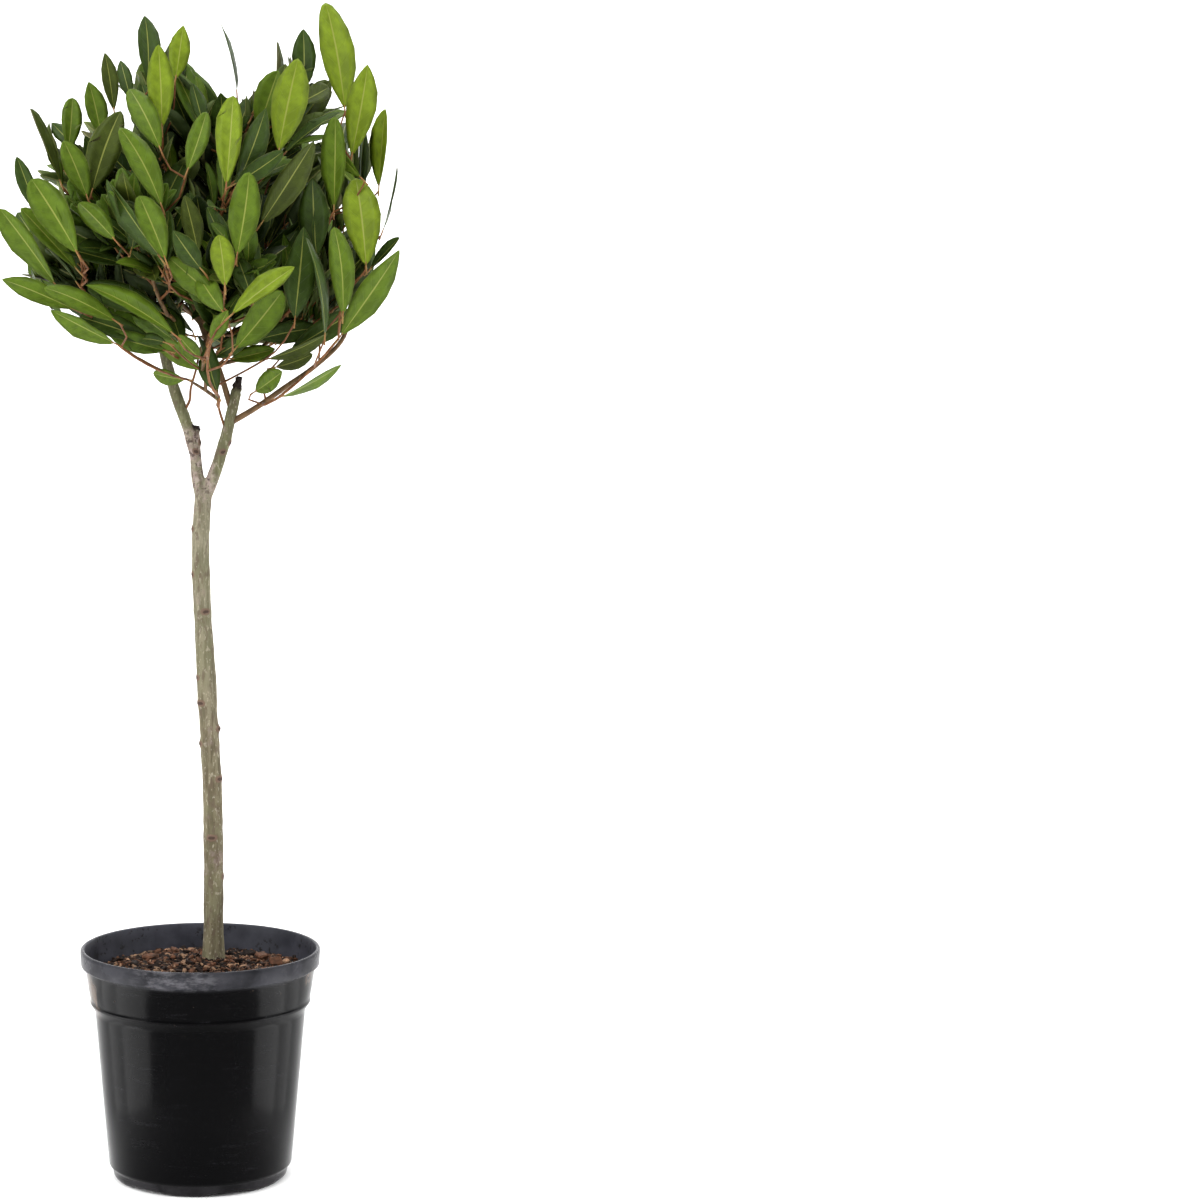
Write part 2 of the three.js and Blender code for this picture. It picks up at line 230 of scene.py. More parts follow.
class PotSettings(PropertyGroup):
    steps: IntProperty(name="Steps", description="Steps round the pot", default=128, min=24, max=256)
    plastic: FloatVectorProperty(
        name="Plastic", description="Colour of the clean plastic",
        default=(0.0012, 0.0012, 0.0015), size=3, min=0, max=1, subtype="COLOR",
    )
    dust: FloatVectorProperty(
        name="Dust", description="Colour of the dusty, scuffed rim",
        default=(0.045, 0.045, 0.052), size=3, min=0, max=1, subtype="COLOR",
    )


class CompostSettings(PropertyGroup):
    chips: IntProperty(
        name="Chips", description="Bark chips on the surface", default=7600, min=100, max=9000,
    )
    chip_size: FloatProperty(
        name="Chip size", description="Length of a middling chip",
        default=2.6 * MM, min=1 * MM, max=20 * MM, subtype="DISTANCE", unit="LENGTH",
    )
    seed: IntProperty(name="Seed", description="Seed of the scatter", default=5)


class BarkSettings(PropertyGroup):
    voxel: FloatProperty(
        name="Fineness", description="Mesh size of the bark surface",
        default=0.9 * MM, min=0.4 * MM, max=4 * MM, subtype="DISTANCE", unit="LENGTH",
    )
    relief: FloatProperty(
        name="Relief", description="Depth of the bark's furrows",
        default=0.28 * MM, min=0, max=3 * MM, subtype="DISTANCE", unit="LENGTH",
    )
    colour: FloatVectorProperty(
        name="Bark", description="Main colour of the bark",
        default=(0.215, 0.195, 0.125), size=3, min=0, max=1, subtype="COLOR",
    )


class CrownSettings(PropertyGroup):
    seed: IntProperty(name="Seed", description="Seed of the branching", default=21)
    leaf_length: FloatProperty(
        name="Leaf length", description="Length of a middling leaf",
        default=62 * MM, min=20 * MM, max=120 * MM, subtype="DISTANCE", unit="LENGTH",
    )
    leaf_ratio: FloatProperty(
        name="Leaf width ratio", description="Width over length", default=0.36, min=0.1, max=0.8,
    )
    siblings: IntProperty(
        name="Siblings", description="Leaves behind each leading leaf", default=4, min=0, max=10,
    )
    shoots: IntProperty(name="Shoots", description="Shoots grown in each mass", default=13, min=0, max=40)
    rear: IntProperty(
        name="Outer shoots", description="Evenly spaced shoots round the crown", default=104, min=0, max=400,
    )
    spacing: FloatProperty(
        name="Spacing", description="Distance between leaves along a shoot",
        default=9 * MM, min=2 * MM, max=40 * MM, subtype="DISTANCE", unit="LENGTH",
    )


class StageSettings(PropertyGroup):
    lens: FloatProperty(
        name="Lens", description="Focal length", default=114.78, min=10, max=300, unit="CAMERA",
    )
    distance: FloatProperty(
        name="Distance", description="Camera in front of the stem", default=3.0, unit="LENGTH",
    )
    height: FloatProperty(name="Height", description="Camera above the floor", default=0.841, unit="LENGTH")
    yaw: FloatProperty(
        name="Yaw", description="Turn to the right", default=math.radians(5.961), subtype="ANGLE",
    )
    pitch: FloatProperty(
        name="Pitch", description="Tilt down", default=math.radians(7.132), subtype="ANGLE",
    )
    roll: FloatProperty(
        name="Roll", description="Roll of the camera", default=math.radians(0.741), subtype="ANGLE",
    )


# ---- Mesh helpers ----

def as_mesh(bm, name):
    mesh = bpy.data.meshes.new(name)
    bm.to_mesh(mesh)
    bm.free()
    return mesh


def place_object(name, data):
    """A new object in the scene that shows the given mesh, light or camera."""
    item = bpy.data.objects.new(name, data)
    bpy.context.scene.collection.objects.link(item)
    return item


def draw_line(bm, points):
    """Vertices at the points, joined in a row by edges."""
    verts = [bm.verts.new(point) for point in points]
    return verts, [bm.edges.new(pair) for pair in zip(verts, verts[1:])]


def turned(points, steps):
    """The solid that a line of points sweeps when it turns once about the upright axis."""
    bm = bmesh.new()
    verts, edges = draw_line(bm, points)
    bmesh.ops.spin(
        bm, geom=verts + edges, cent=(0, 0, 0), axis=(0, 0, 1), angle=math.tau, steps=steps, use_merge=True,
    )
    bmesh.ops.remove_doubles(bm, verts=bm.verts, dist=1e-6)
    return bm


def finish_piece(name, bm, materials, nodes, smooth=True):
    """Puts a mesh in the scene as one piece that stands for the given frame nodes."""
    mesh = as_mesh(bm, name)
    for material in materials:
        mesh.materials.append(material)
    mesh.polygons.foreach_set("use_smooth", [smooth] * len(mesh.polygons))
    piece = place_object(name, mesh)
    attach(piece, ROOT)
    if nodes:
        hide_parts(*nodes)
    return piece


def smooth_path(stations, steps):
    """Points evenly spread over a smooth curve through the stations."""
    ends = [stations[0] * 2 - stations[1]] + list(stations) + [stations[-1] * 2 - stations[-2]]
    points = []
    for i in range(1, len(ends) - 2):
        a, b, c, d = ends[i - 1:i + 3]
        for step in range(steps):
            t = step / steps
            points.append(0.5 * (
                2 * b + (c - a) * t + (2 * a - 5 * b + 4 * c - d) * t ** 2 + (3 * b - a - 3 * c + d) * t ** 3
            ))
    points.append(stations[-1].copy())
    return points


def sweep(bm, path, radii, sides):
    """A closed tapering tube of rings square to the path."""
    tangents = []
    for i in range(len(path)):
        before = path[max(i - 1, 0)]
        after = path[min(i + 1, len(path) - 1)]
        tangents.append((after - before).normalized())
    turn = UP.rotation_difference(tangents[0])
    place = Matrix.Translation(path[0]) @ turn.to_matrix().to_4x4()
    ring = bmesh.ops.create_circle(bm, cap_ends=True, segments=sides, radius=radii[0], matrix=place)["verts"]
    edges = list({edge for vert in ring for edge in vert.link_edges})
    for i in range(1, len(path)):
        turn = tangents[i - 1].rotation_difference(tangents[i]).to_matrix().to_4x4()
        grow = Matrix.Scale(radii[i] / radii[i - 1], 4)
        move = Matrix.Translation(path[i]) @ turn @ grow @ Matrix.Translation(-path[i - 1])
        made = bmesh.ops.extrude_edge_only(bm, edges=edges)["geom"]
        ring = [item for item in made if isinstance(item, bmesh.types.BMVert)]
        bmesh.ops.transform(bm, matrix=move, verts=ring)
        verts = set(ring)
        edges = [
            item for item in made
            if isinstance(item, bmesh.types.BMEdge) and item.verts[0] in verts and item.verts[1] in verts
        ]
    bmesh.ops.edgeloop_fill(bm, edges=edges)
    return bm


def tube(path, radii, sides):
    bm = bmesh.new()
    sweep(bm, path, radii, sides)
    bmesh.ops.recalc_face_normals(bm, faces=bm.faces)
    return as_mesh(bm, "tube")


def gather(target, mesh, matrix=None):
    """Adds a mesh to a growing bmesh, and clears it away."""
    if matrix is not None:
        mesh.transform(matrix)
    target.from_mesh(mesh)
    bpy.data.meshes.remove(mesh)


def evaluated(mesh, add_modifiers):
    """The mesh with the given modifiers applied."""
    holder = place_object("holder", mesh)
    add_modifiers(holder)
    depsgraph = bpy.context.evaluated_depsgraph_get()
    result = bpy.data.meshes.new_from_object(holder.evaluated_get(depsgraph))
    bpy.data.objects.remove(holder)
    bpy.data.meshes.remove(mesh)
    return result


# ---- Material helpers ----

class Finish:
    """A node material with one principled shader, and short calls for its pattern nodes."""

    def __init__(self, name, roughness=0.5, specular=0.5, coordinates="Object"):
        self.material = bpy.data.materials.new(name)
        self.material.use_nodes = True
        self.nodes = self.material.node_tree.nodes
        self.links = self.material.node_tree.links
        self.shader = self.nodes["Principled BSDF"]
        self.shader.inputs["Roughness"].default_value = roughness
        self.shader.inputs["Specular IOR Level"].default_value = specular
        self.place = self.nodes.new("ShaderNodeTexCoord").outputs[coordinates]

    def join(self, source, target):
        if isinstance(source, bpy.types.NodeSocket):
            self.links.new(source, target)
        elif isinstance(source, (int, float)):
            target.default_value = source
        else:
            colour = tuple(source)
            target.default_value = colour if len(colour) == len(target.default_value) else (*colour, 1)

    def node(self, kind, values):
        """A new node with some inputs set: a socket is linked, and anything else is the input's value."""
        node = self.nodes.new("ShaderNode" + kind)
        for name, value in values.items():
            self.join(value, node.inputs[name])
        return node

    def mapped(self, scale=(1, 1, 1), location=(0, 0, 0)):
        values = {"Vector": self.place, "Scale": scale, "Location": location}
        return self.node("Mapping", values).outputs["Vector"]

    def noise(self, scale, detail=4, roughness=0.55, source=None):
        values = {"Vector": source or self.place, "Scale": scale, "Detail": detail, "Roughness": roughness}
        return self.node("TexNoise", values).outputs["Fac"]

    def ramp(self, source, low, high, low_value=0.0, high_value=1.0):
        node = self.node("MapRange", {
            "Value": source, "From Min": low, "From Max": high, "To Min": low_value, "To Max": high_value,
        })
        node.interpolation_type = "SMOOTHSTEP"
        return node.outputs["Result"]

    def patches(self, scale, low, high, low_value=0.0, high_value=1.0, stretch=None, **grain):
        """Noise with a soft threshold, stretched along the axes if asked."""
        source = self.mapped(scale=stretch) if stretch else None
        return self.ramp(self.noise(scale, source=source, **grain), low, high, low_value, high_value)

    def maths(self, operation, first, second=0.0):
        node = self.node("Math", {0: first, 1: second})
        node.operation = operation
        return node.outputs[0]

    def times(self, first, second):
        return self.maths("MULTIPLY", first, second)

    def plus(self, first, second):
        return self.maths("ADD", first, second)

    def minus(self, first, second):
        return self.maths("SUBTRACT", first, second)

    def larger(self, first, second):
        return self.maths("MAXIMUM", first, second)

    def mix(self, factor, first, second):
        node = self.nodes.new("ShaderNodeMix")
        node.data_type = "RGBA"
        for name, value in (("Factor", factor), (6, first), (7, second)):
            self.join(value, node.inputs[name])
        return node.outputs[2]

    def axes(self):
        node = self.node("SeparateXYZ", {"Vector": self.place})
        return node.outputs["X"], node.outputs["Y"], node.outputs["Z"]

    def near(self, point, reach):
        node = self.node("VectorMath", {0: self.place, 1: point})
        node.operation = "DISTANCE"
        return self.ramp(node.outputs["Value"], reach, reach * 0.4)

    def attribute(self, name):
        node = self.nodes.new("ShaderNodeAttribute")
        node.attribute_name = name
        return node.outputs["Fac"]

    def colour(self, source):
        self.join(source, self.shader.inputs["Base Color"])

    def roughness(self, source):
        self.join(source, self.shader.inputs["Roughness"])

    def bump(self, height, distance, strength=1.0):
        node = self.node("Bump", {"Strength": strength, "Distance": distance, "Height": height})
        self.links.new(node.outputs["Normal"], self.shader.inputs["Normal"])


# ---- Pot ----

def pot_profile():
    """Radius and height of the wall's line, from the underside's centre round to the floor's centre."""
    outside = [
        (0, 0), (30, 0), (36, 0), (48, 0), (58, 0), (64, 0), (66, 0.35), (67.6, 1.4), (68.8, 3.2),
        (69.3, 5.5), (69.6, 8), (70.4, 9.3), (72, 11), (72.6, 12.4), (78, 74), (83.1, 134), (83.5, 136.2),
        (84.6, 138.6), (86.4, 141.5), (87.1, 142.5), (87.4, 143.5), (87.3, 144.3), (87.0, 145),
        (87.3, 147), (88.6, 155), (90.8, 170), (91.3, 171.2), (92.4, 171.9), (93.6, 172), (94.1, 172.4),
        (94.4, 173.4), (94.9, 182.6), (94.8, 184.2), (94.2, 185.1), (93.4, 185.5),
    ]
    inside = [
        (92.6, 185.5), (91.9, 185.1), (91.5, 184.2), (90.9, 178), (89.4, 170), (87, 156), (85.2, 144.6),
        (82.4, 138), (81.4, 135), (71, 14), (67.9, 9), (67.9, 7), (66, 5.2), (60, 5), (0, 5),
    ]
    return [(radius * MM, height * MM) for radius, height in outside + inside]


def arch_lift(x, y, count=6, first=-70, half_width=22, height=3.0, inner=38):
    """How far a drain channel's arch rises over a place on the underside."""
    lift = 0.0
    for i in range(count):
        angle = math.radians(first + i * 360 / count)
        along = x * math.cos(angle) + y * math.sin(angle)
        across = -x * math.sin(angle) + y * math.cos(angle)
        if along <= inner * MM or abs(across) >= half_width * MM:
            continue
        rise = math.sqrt(1 - (across / (half_width * MM)) ** 2) * height * MM
        lift = max(lift, rise * min((along / MM - inner) / 4, 1))
    return lift


def pot_mesh(settings):
    bm = turned([(0, -radius, height) for radius, height in pot_profile()], settings.steps)
    bmesh.ops.recalc_face_normals(bm, faces=bm.faces)
    for vert in bm.verts:
        radius = vert.co.xy.length
        if vert.co.z < 9 * MM and (vert.co.z < 4 * MM or radius > 69 * MM):
            lift = arch_lift(vert.co.x, vert.co.y)
            if lift > vert.co.z:
                vert.co.z = lift
    for face in bm.faces:
        middle = face.calc_center_median()
        away = Vector((middle.x, middle.y, 0)).normalized()
        inward = face.normal.dot(away) if middle.xy.length > 1e-4 else 0
        if middle.z > 5.5 * MM and inward < -0.3:
            face.material_index = 1
    return bm


def plastic_finish(settings):
    """Black satin plastic, greyer and scuffed on the rim, with a smear of dried compost."""
    finish = Finish("moulded black plastic", roughness=0.3, specular=0.045)
    _, _, z = finish.axes()
    rim = finish.ramp(z, 0.168, 0.174)
    fine = finish.noise(420, detail=5, roughness=0.65)
    broad = finish.noise(38, detail=4)
    streaks = finish.noise(26, detail=5, source=finish.mapped(scale=(1, 1, 9)))
    dusty = finish.times(rim, finish.ramp(broad, 0.28, 0.72, 0.35, 1.0))
    scuffs = finish.times(finish.ramp(streaks, 0.58, 0.75), finish.ramp(fine, 0.4, 0.62))
    worn = finish.larger(dusty, finish.times(scuffs, 0.16))
    colour = finish.mix(worn, settings.plastic, settings.dust)
    pale = finish.times(rim, finish.near((-0.02, -0.094, 0.177), 0.045))
    smear = finish.noise(90, detail=6, roughness=0.7, source=finish.mapped(scale=(1, 1, 2.6)))
    pale = finish.times(pale, finish.ramp(smear, 0.4, 0.66))
    colour = finish.mix(finish.times(pale, 0.55), colour, (0.17, 0.165, 0.18))
    soil = finish.near((-0.0865, -0.02, 0.153), 0.025)
    soil = finish.larger(soil, finish.near((0.085, -0.03, 0.167), 0.01))
    soil = finish.times(soil, finish.patches(85, 0.4, 0.5, detail=6))
    crumbs = finish.times(finish.patches(300, 0.7, 0.74, detail=3), finish.ramp(z, 0.12, 0.17, 0, 0.4))
    foot = finish.patches(55, 0.32, 0.6, 0.25, 0.8, stretch=(1, 1, 0.5), detail=5)
    foot = finish.times(foot, finish.ramp(z, 0.0105, 0.0085))
    colour = finish.mix(foot, colour, (0.024, 0.023, 0.025))
    colour = finish.mix(finish.larger(soil, crumbs), colour, (0.085, 0.064, 0.05))
    finish.colour(colour)
    rough = finish.patches(60, 0.3, 0.7, 0.15, 0.2, detail=6)
    finish.roughness(finish.plus(rough, finish.times(worn, 0.12)))
    finish.bump(finish.noise(900, detail=3), 0.00006, 0.5)
    return finish.material


def liner_finish():
    """The inner wall, blue-grey with dust and dark specks of damp compost."""
    finish = Finish("inner wall with splashes", roughness=0.5, specular=0.25)
    film = finish.patches(45, 0.3, 0.7, detail=5)
    colour = finish.mix(film, (0.022, 0.023, 0.031), (0.047, 0.048, 0.062))
    specks = finish.patches(200, 0.56, 0.6, detail=4, roughness=0.7)
    patches = finish.patches(30, 0.42, 0.54, detail=2)
    colour = finish.mix(finish.times(specks, patches), colour, (0.004, 0.0035, 0.0035))
    finish.colour(colour)
    finish.roughness(finish.ramp(film, 0, 1, 0.42, 0.58))
    finish.bump(finish.noise(700, detail=3), 0.00006, 0.5)
    return finish.material


class BAY_OT_pot(Operator):
    """Turn the pot's wall, with its band, collar and drain channels"""
    bl_idname = "bay.pot"
    bl_label = "Pot"

    def execute(self, context):
        settings = context.scene.bay_pot
        finish_piece(
            "nursery_pot", pot_mesh(settings),
            [plastic_finish(settings), liner_finish()], ["pot"],
        )
        return {"FINISHED"}


# ---- Compost ----

STEM_FOOT = (10.2, 6)
CHIP_SIZES = (0.5, 0.6, 0.7, 0.8, 0.8, 0.9, 1, 1, 1.2, 1.3, 1.6, 2.2)


def compost_bed():
    """The bed under the loose chips, as deep as the frame's compost."""
    rise = SOIL_HIGH.z / MM
    line = [
        (0, 8), (62, 8), (70, 16), (80.6, 135), (84, 144.5), (87, 160), (86.6, 163.6), (74, rise - 7.4),
        (56, rise - 5.2), (36, rise - 3.4), (18, rise - 2.2), (0, rise - 2),
    ]
    bm = turned([(radius * MM, 0, height * MM) for radius, height in line], 72)
    top = [face for face in bm.faces if face.calc_center_median().z > 161 * MM]
    edges = list({edge for face in top for edge in face.edges})
    bmesh.ops.subdivide_edges(bm, edges=edges, cuts=2, use_grid_fill=True)
    bmesh.ops.recalc_face_normals(bm, faces=bm.faces)
    for vert in bm.verts:
        if vert.co.z > 163 * MM and vert.co.xy.length < 84 * MM:
            vert.co.z += noise.noise(vert.co * 90) * 1.6 * MM
    return bm


def bed_height(x, y):
    """Height of the bed's top, a low mound round the stem."""
    radius = math.hypot(x, y) / MM
    share = min(radius / 87, 1)
    collar = 3.4 * math.exp(-(math.hypot(x / MM - STEM_FOOT[0], y / MM - STEM_FOOT[1]) / 30) ** 2)
    rough = noise.noise(Vector((x, y, 0.3)) * 60) * 1.5 * MM
    return SOIL_HIGH.z - (2 + 8.2 * share ** 1.4 - collar) * MM + rough


def chip_mesh(rng):
    """One split, knocked-about flake of bark, about a unit long."""
    bm = bmesh.new()
    bmesh.ops.create_cube(bm, size=1)
    bmesh.ops.scale(bm, vec=(1, 0.62, 0.36), verts=bm.verts)
    for vert in bm.verts:
        vert.co += Vector((rng.uniform(-0.17, 0.17), rng.uniform(-0.13, 0.13), rng.uniform(-0.09, 0.09)))
    bmesh.ops.bevel(
        bm, geom=bm.edges[:], offset=0.1, offset_type="OFFSET", segments=1, profile=0.5,
        affect="EDGES", material=-1,
    )
    bmesh.ops.recalc_face_normals(bm, faces=bm.faces)
    return as_mesh(bm, "chip")


# Larger lumps: place, size in millimetres and tint.
LUMPS = [
    (49, 26, 15, "compost_chips_brown"), (38, 34, 11, "compost_chips_dark"),
    (60, 10, 12, "compost_chips_brown"), (68, 20, 9, "compost_chips_pale"),
    (-40, 30, 12, "compost_chips_brown"), (-52, 8, 10, "compost_chips_dark"),
    (-20, 44, 11, "compost_chips_brown"), (-10, -52, 10, "compost_chips_dark"),
    (28, -44, 10, "compost_chips_brown"), (-64, -14, 9, "compost_chips_pale"),
]
# Colour and share of each chip tint. The near-black dark chips are dealt out most often, partly as painted
# shade for the shadowed gaps between the granules.
CHIP_TINTS = {
    "compost_chips_dark": ((0.016, 0.009, 0.006), 0.55),
    "compost_chips_brown": ((0.1, 0.05, 0.028), 0.34),
    "compost_chips_pale": ((0.27, 0.18, 0.115), 0.15),
}


def chip_finish(name, colour):
    """Rough fibrous bark, darker where it is damp."""
    finish = Finish(name, roughness=0.9, specular=0.25)
    damp = finish.patches(160, 0.3, 0.7, detail=5)
    fibre = finish.noise(700, detail=4, source=finish.mapped(scale=(1, 0.25, 1)))
    warm = tuple(min(part * gain, 1) for part, gain in zip(colour, (1.5, 1.25, 1.15)))
    dark = tuple(part * 0.42 for part in colour)
    tone = finish.mix(damp, dark, warm)
    finish.colour(finish.mix(finish.ramp(fibre, 0.35, 0.65, 0, 0.45), tone, dark))
    finish.bump(fibre, 0.0004, 0.8)
    return finish.material


class BAY_OT_compost(Operator):
    """Heap bark compost round the stem, with loose chips on a bed"""
    bl_idname = "bay.compost"
    bl_label = "Compost"

    def execute(self, context):
        settings = context.scene.bay_compost
        rng = random.Random(settings.seed)
        # The bed's dark colour is partly painted shade, for the shadowed gaps seen between the chips.
        bed = chip_finish("compost bed", (0.03, 0.016, 0.01))
        finish_piece("compost_bed", compost_bed(), [bed], ["compost"])
        shapes = [chip_mesh(rng) for _ in range(9)]
        heaps = {name: bmesh.new() for name in CHIP_TINTS}
        names = list(CHIP_TINTS)
        weights = [CHIP_TINTS[name][1] for name in names]
        stem = Vector(STEM_FOOT) * MM
        for _ in range(settings.chips):
            radius = 85.5 * MM * math.sqrt(rng.random())
            angle = rng.random() * math.tau
            x, y = radius * math.cos(angle), radius * math.sin(angle)
            size = settings.chip_size * rng.choice(CHIP_SIZES) * rng.uniform(0.8, 1.2)
            if (Vector((x, y)) - stem).length < 8.5 * MM + size * 0.35 or radius + size * 0.5 > 87 * MM:
                continue
            turn = Quaternion(UP, rng.random() * math.tau) @ Quaternion((1, 0, 0), rng.gauss(0, 0.5))
            turn = turn @ Quaternion((0, 1, 0), rng.gauss(0, 0.4))
            place = Matrix.Translation((x, y, bed_height(x, y) + size * rng.uniform(0.05, 0.4)))
            heap = heaps[rng.choices(names, weights)[0]]
            gather(heap, rng.choice(shapes).copy(), place @ turn.to_matrix().to_4x4() @ Matrix.Scale(size, 4))
        for x, y, size, name in LUMPS:
            turn = Quaternion(UP, x) @ Quaternion((1, 0, 0), rng.gauss(0, 0.4))
            place = Matrix.Translation((x * MM, y * MM, bed_height(x * MM, y * MM) + size * 0.3 * MM))
            place = place @ turn.to_matrix().to_4x4() @ Matrix.Scale(size * MM, 4)
            gather(heaps[name], rng.choice(shapes).copy(), place)
        for name, heap in heaps.items():
            bark = chip_finish(name.replace("_", " "), CHIP_TINTS[name][0])
            finish_piece(name, heap, [bark], [], False)
        for shape in shapes:
            bpy.data.meshes.remove(shape)
        return {"FINISHED"}


# ---- Stem and boughs ----

# Old leaf scars and knuckles: height, side they face in degrees from the front, and swell, in millimetres.
KNUCKLES = [
    (242, 80, 0.7), (274, 350, 0.9), (286, 190, 0.8), (321, 50, 0.9), (349, 280, 1.0), (361, 72, 1.6),
    (382, 315, 1.3), (402, 285, 0.6), (410, 170, 0.9), (455, 18, 1.2), (484, 282, 0.5), (500, 200, 0.7),
    (520, 280, 0.8), (581, 12, 0.4), (588, 60, 0.9),
]
STUB_ENDS = [(Vector((-2.4, 1, 601)) * MM, 8), (Vector((29, -5.5, 637)) * MM, 15)]
STUBS = {"leader_left": (588, 0.42), "bough_right": (626, 0.35)}


def limb_path(name, steps=10):
    stations, foot, end = LIMB_SHAPES[name]
    path = smooth_path([Vector(station) * MM for station in stations], steps)
    last = len(path) - 1
    radii = []
    for i, point in enumerate(path):
        radius = foot + (end - foot) * i / last
        if name == "trunk":
            radius += 1.4 * math.exp(-max(point.z / MM - 172, 0) / 11)
            radius += 0.5 * math.exp(-abs(point.z / MM - 552) / 12)
        if name in STUBS:
            start, thin = STUBS[name]
            radius *= 1 - thin * min(max((point.z / MM - start) / 12, 0), 1)
        radii.append(radius * MM)
    return path, radii


def wood_mesh(settings):
    """Stem and boughs grown together, with bark furrows, knuckles and weathered cut ends."""
    bm = bmesh.new()
    for name in ("trunk", "leader_left", "bough_left", "bough_right"):
        path, radii = limb_path(name)
        gather(bm, tube(path, radii, 28))

    def remesh(holder):
        modifier = holder.modifiers.new("grown together", "REMESH")
        modifier.mode = "VOXEL"
        modifier.voxel_size = settings.voxel

    mesh = evaluated(as_mesh(bm, "wood"), remesh)
    bm = bmesh.new()
    bm.from_mesh(mesh)
    bpy.data.meshes.remove(mesh)
    for _ in range(3):
        bmesh.ops.smooth_vert(
            bm, verts=bm.verts, factor=0.5, use_axis_x=True, use_axis_y=True, use_axis_z=True,
        )
    bmesh.ops.recalc_face_normals(bm, faces=bm.faces)
    bm.normal_update()
    scar = bm.verts.layers.float.new("scar")
    cut = bm.verts.layers.float.new("cut")
    moves = []
    for vert in bm.verts:
        point = vert.co
        grain = Vector((point.x * 260, point.y * 260, point.z * 55))
        lift = noise.fractal(grain, 0.9, 2.1, 5) * settings.relief
        lift += noise.noise(point * 32) * settings.relief * 1.8
        lift += noise.noise(Vector((point.x * 120, point.y * 120, point.z * 60))) * settings.relief * 0.9
        for height, side, swell in KNUCKLES:
            away = (point.z / MM - height) / 2.8
            if abs(away) > 3:
                continue
            facing = Vector((math.sin(math.radians(side)), -math.cos(math.radians(side)), 0)).dot(vert.normal)
            spot = math.exp(-away * away) * min(max((facing - 0.74) / 0.24, 0), 1)
            lift += swell * MM * (spot + 0.25 * math.exp(-away * away / 2))
            vert[scar] = max(vert[scar], spot)
        for end, dark in STUB_ENDS:
            share = 1 - (point - end).length / MM / dark
            if share > 0:
                vert[cut] = max(vert[cut], share)
                lift += noise.fractal(point * 420, 0.8, 2.2, 4) * 1.3 * MM * min(share * 2, 1)
        moves.append(vert.normal * lift)
    for vert, move in zip(bm.verts, moves):
        vert.co += move
        vert.co.z = max(vert.co.z, 170 * MM)
    return bm


def bark_finish(settings):
    """Smooth grey-green bark with rosy grey weathering, dark scars and black cut ends."""
    finish = Finish("smooth bark", roughness=0.78, specular=0.3)
    x, _, z = finish.axes()
    base = tuple(settings.colour)
    streaks = finish.noise(230, detail=6, roughness=0.65, source=finish.mapped(scale=(1, 1, 0.13)))
    mottle = finish.noise(75, detail=5, roughness=0.6)
    light = finish.mix(finish.ramp(z, 0.28, 0.6), (0.195, 0.168, 0.102), (0.36, 0.33, 0.235))
    deep = finish.mix(finish.ramp(z, 0.28, 0.6), (0.1, 0.08, 0.045), (0.19, 0.175, 0.112))
    tone = finish.mix(finish.ramp(streaks, 0.41, 0.58), deep, light)
    faded = finish.times(finish.ramp(mottle, 0.42, 0.64, 0, 0.5), finish.ramp(z, 0.3, 0.55))
    tone = finish.mix(faded, tone, base)
    olive = finish.patches(20, 0.4, 0.65, 0, 0.6, detail=3)
    tone = finish.mix(olive, tone, (0.18, 0.175, 0.095))
    bough = finish.larger(finish.ramp(z, 0.592, 0.604), finish.ramp(x, 0.008, 0.012))
    bough = finish.times(bough, finish.ramp(z, 0.548, 0.566))
    green = finish.mix(finish.ramp(streaks, 0.36, 0.64), (0.12, 0.115, 0.058), (0.2, 0.205, 0.095))
    tone = finish.mix(finish.times(bough, 0.85), tone, green)
    fork = finish.times(finish.ramp(z, 0.53, 0.56), finish.minus(1, bough))
    pocks = finish.patches(210, 0.48, 0.56, detail=3, roughness=0.6)
    tone = finish.mix(finish.times(finish.times(fork, pocks), 0.9), tone, (0.44, 0.36, 0.31))
    shifted = finish.noise(190, detail=4, roughness=0.7, source=finish.mapped(location=(0.3, 0, 0)))
    blots = finish.ramp(shifted, 0.54, 0.6)
    blots = finish.times(finish.times(fork, blots), 0.85)
    rosy = finish.patches(150, 0.42, 0.58, detail=5, roughness=0.65)
    sparse = finish.patches(34, 0.58, 0.68, 0, 0.8, detail=3)
    rosy = finish.times(rosy, finish.larger(fork, sparse))
    tone = finish.mix(finish.times(rosy, 0.6), tone, (0.3, 0.22, 0.2))
    tone = finish.mix(blots, tone, (0.07, 0.045, 0.04))
    specks = finish.patches(640, 0.64, 0.7, detail=3, roughness=0.7)
    tone = finish.mix(finish.times(specks, 0.75), tone, (0.05, 0.035, 0.025))
    edge = finish.patches(260, 0.55, 0.64, 0, 0.6, stretch=(1, 1, 0.3), detail=4)
    tone = finish.mix(edge, tone, (0.12, 0.085, 0.06))
    flecks = finish.patches(520, 0.57, 0.66, 0, 0.6, stretch=(1, 1, 0.45), detail=4)
    tone = finish.mix(flecks, tone, (0.42, 0.38, 0.28))
    rough_scar = finish.times(finish.noise(420, detail=4), 0.5)
    scar = finish.minus(finish.times(finish.attribute("scar"), 1.3), rough_scar)
    tone = finish.mix(finish.ramp(scar, 0.1, 0.5, 0, 0.9), tone, (0.17, 0.105, 0.075))
    tone = finish.mix(finish.ramp(scar, 0.7, 0.95, 0, 0.85), tone, (0.05, 0.03, 0.022))
    ends = finish.plus(finish.attribute("cut"), finish.times(finish.noise(500), 0.4))
    tone = finish.mix(finish.ramp(ends, 0.5, 0.8), tone, (0.022, 0.014, 0.012))
    finish.colour(tone)
    finish.roughness(finish.ramp(mottle, 0.3, 0.7, 0.66, 0.86))
    relief = finish.plus(finish.noise(420, detail=6, source=finish.mapped(scale=(1, 1, 0.3))), streaks)
    finish.bump(relief, 0.0004, 0.7)
    return finish.material


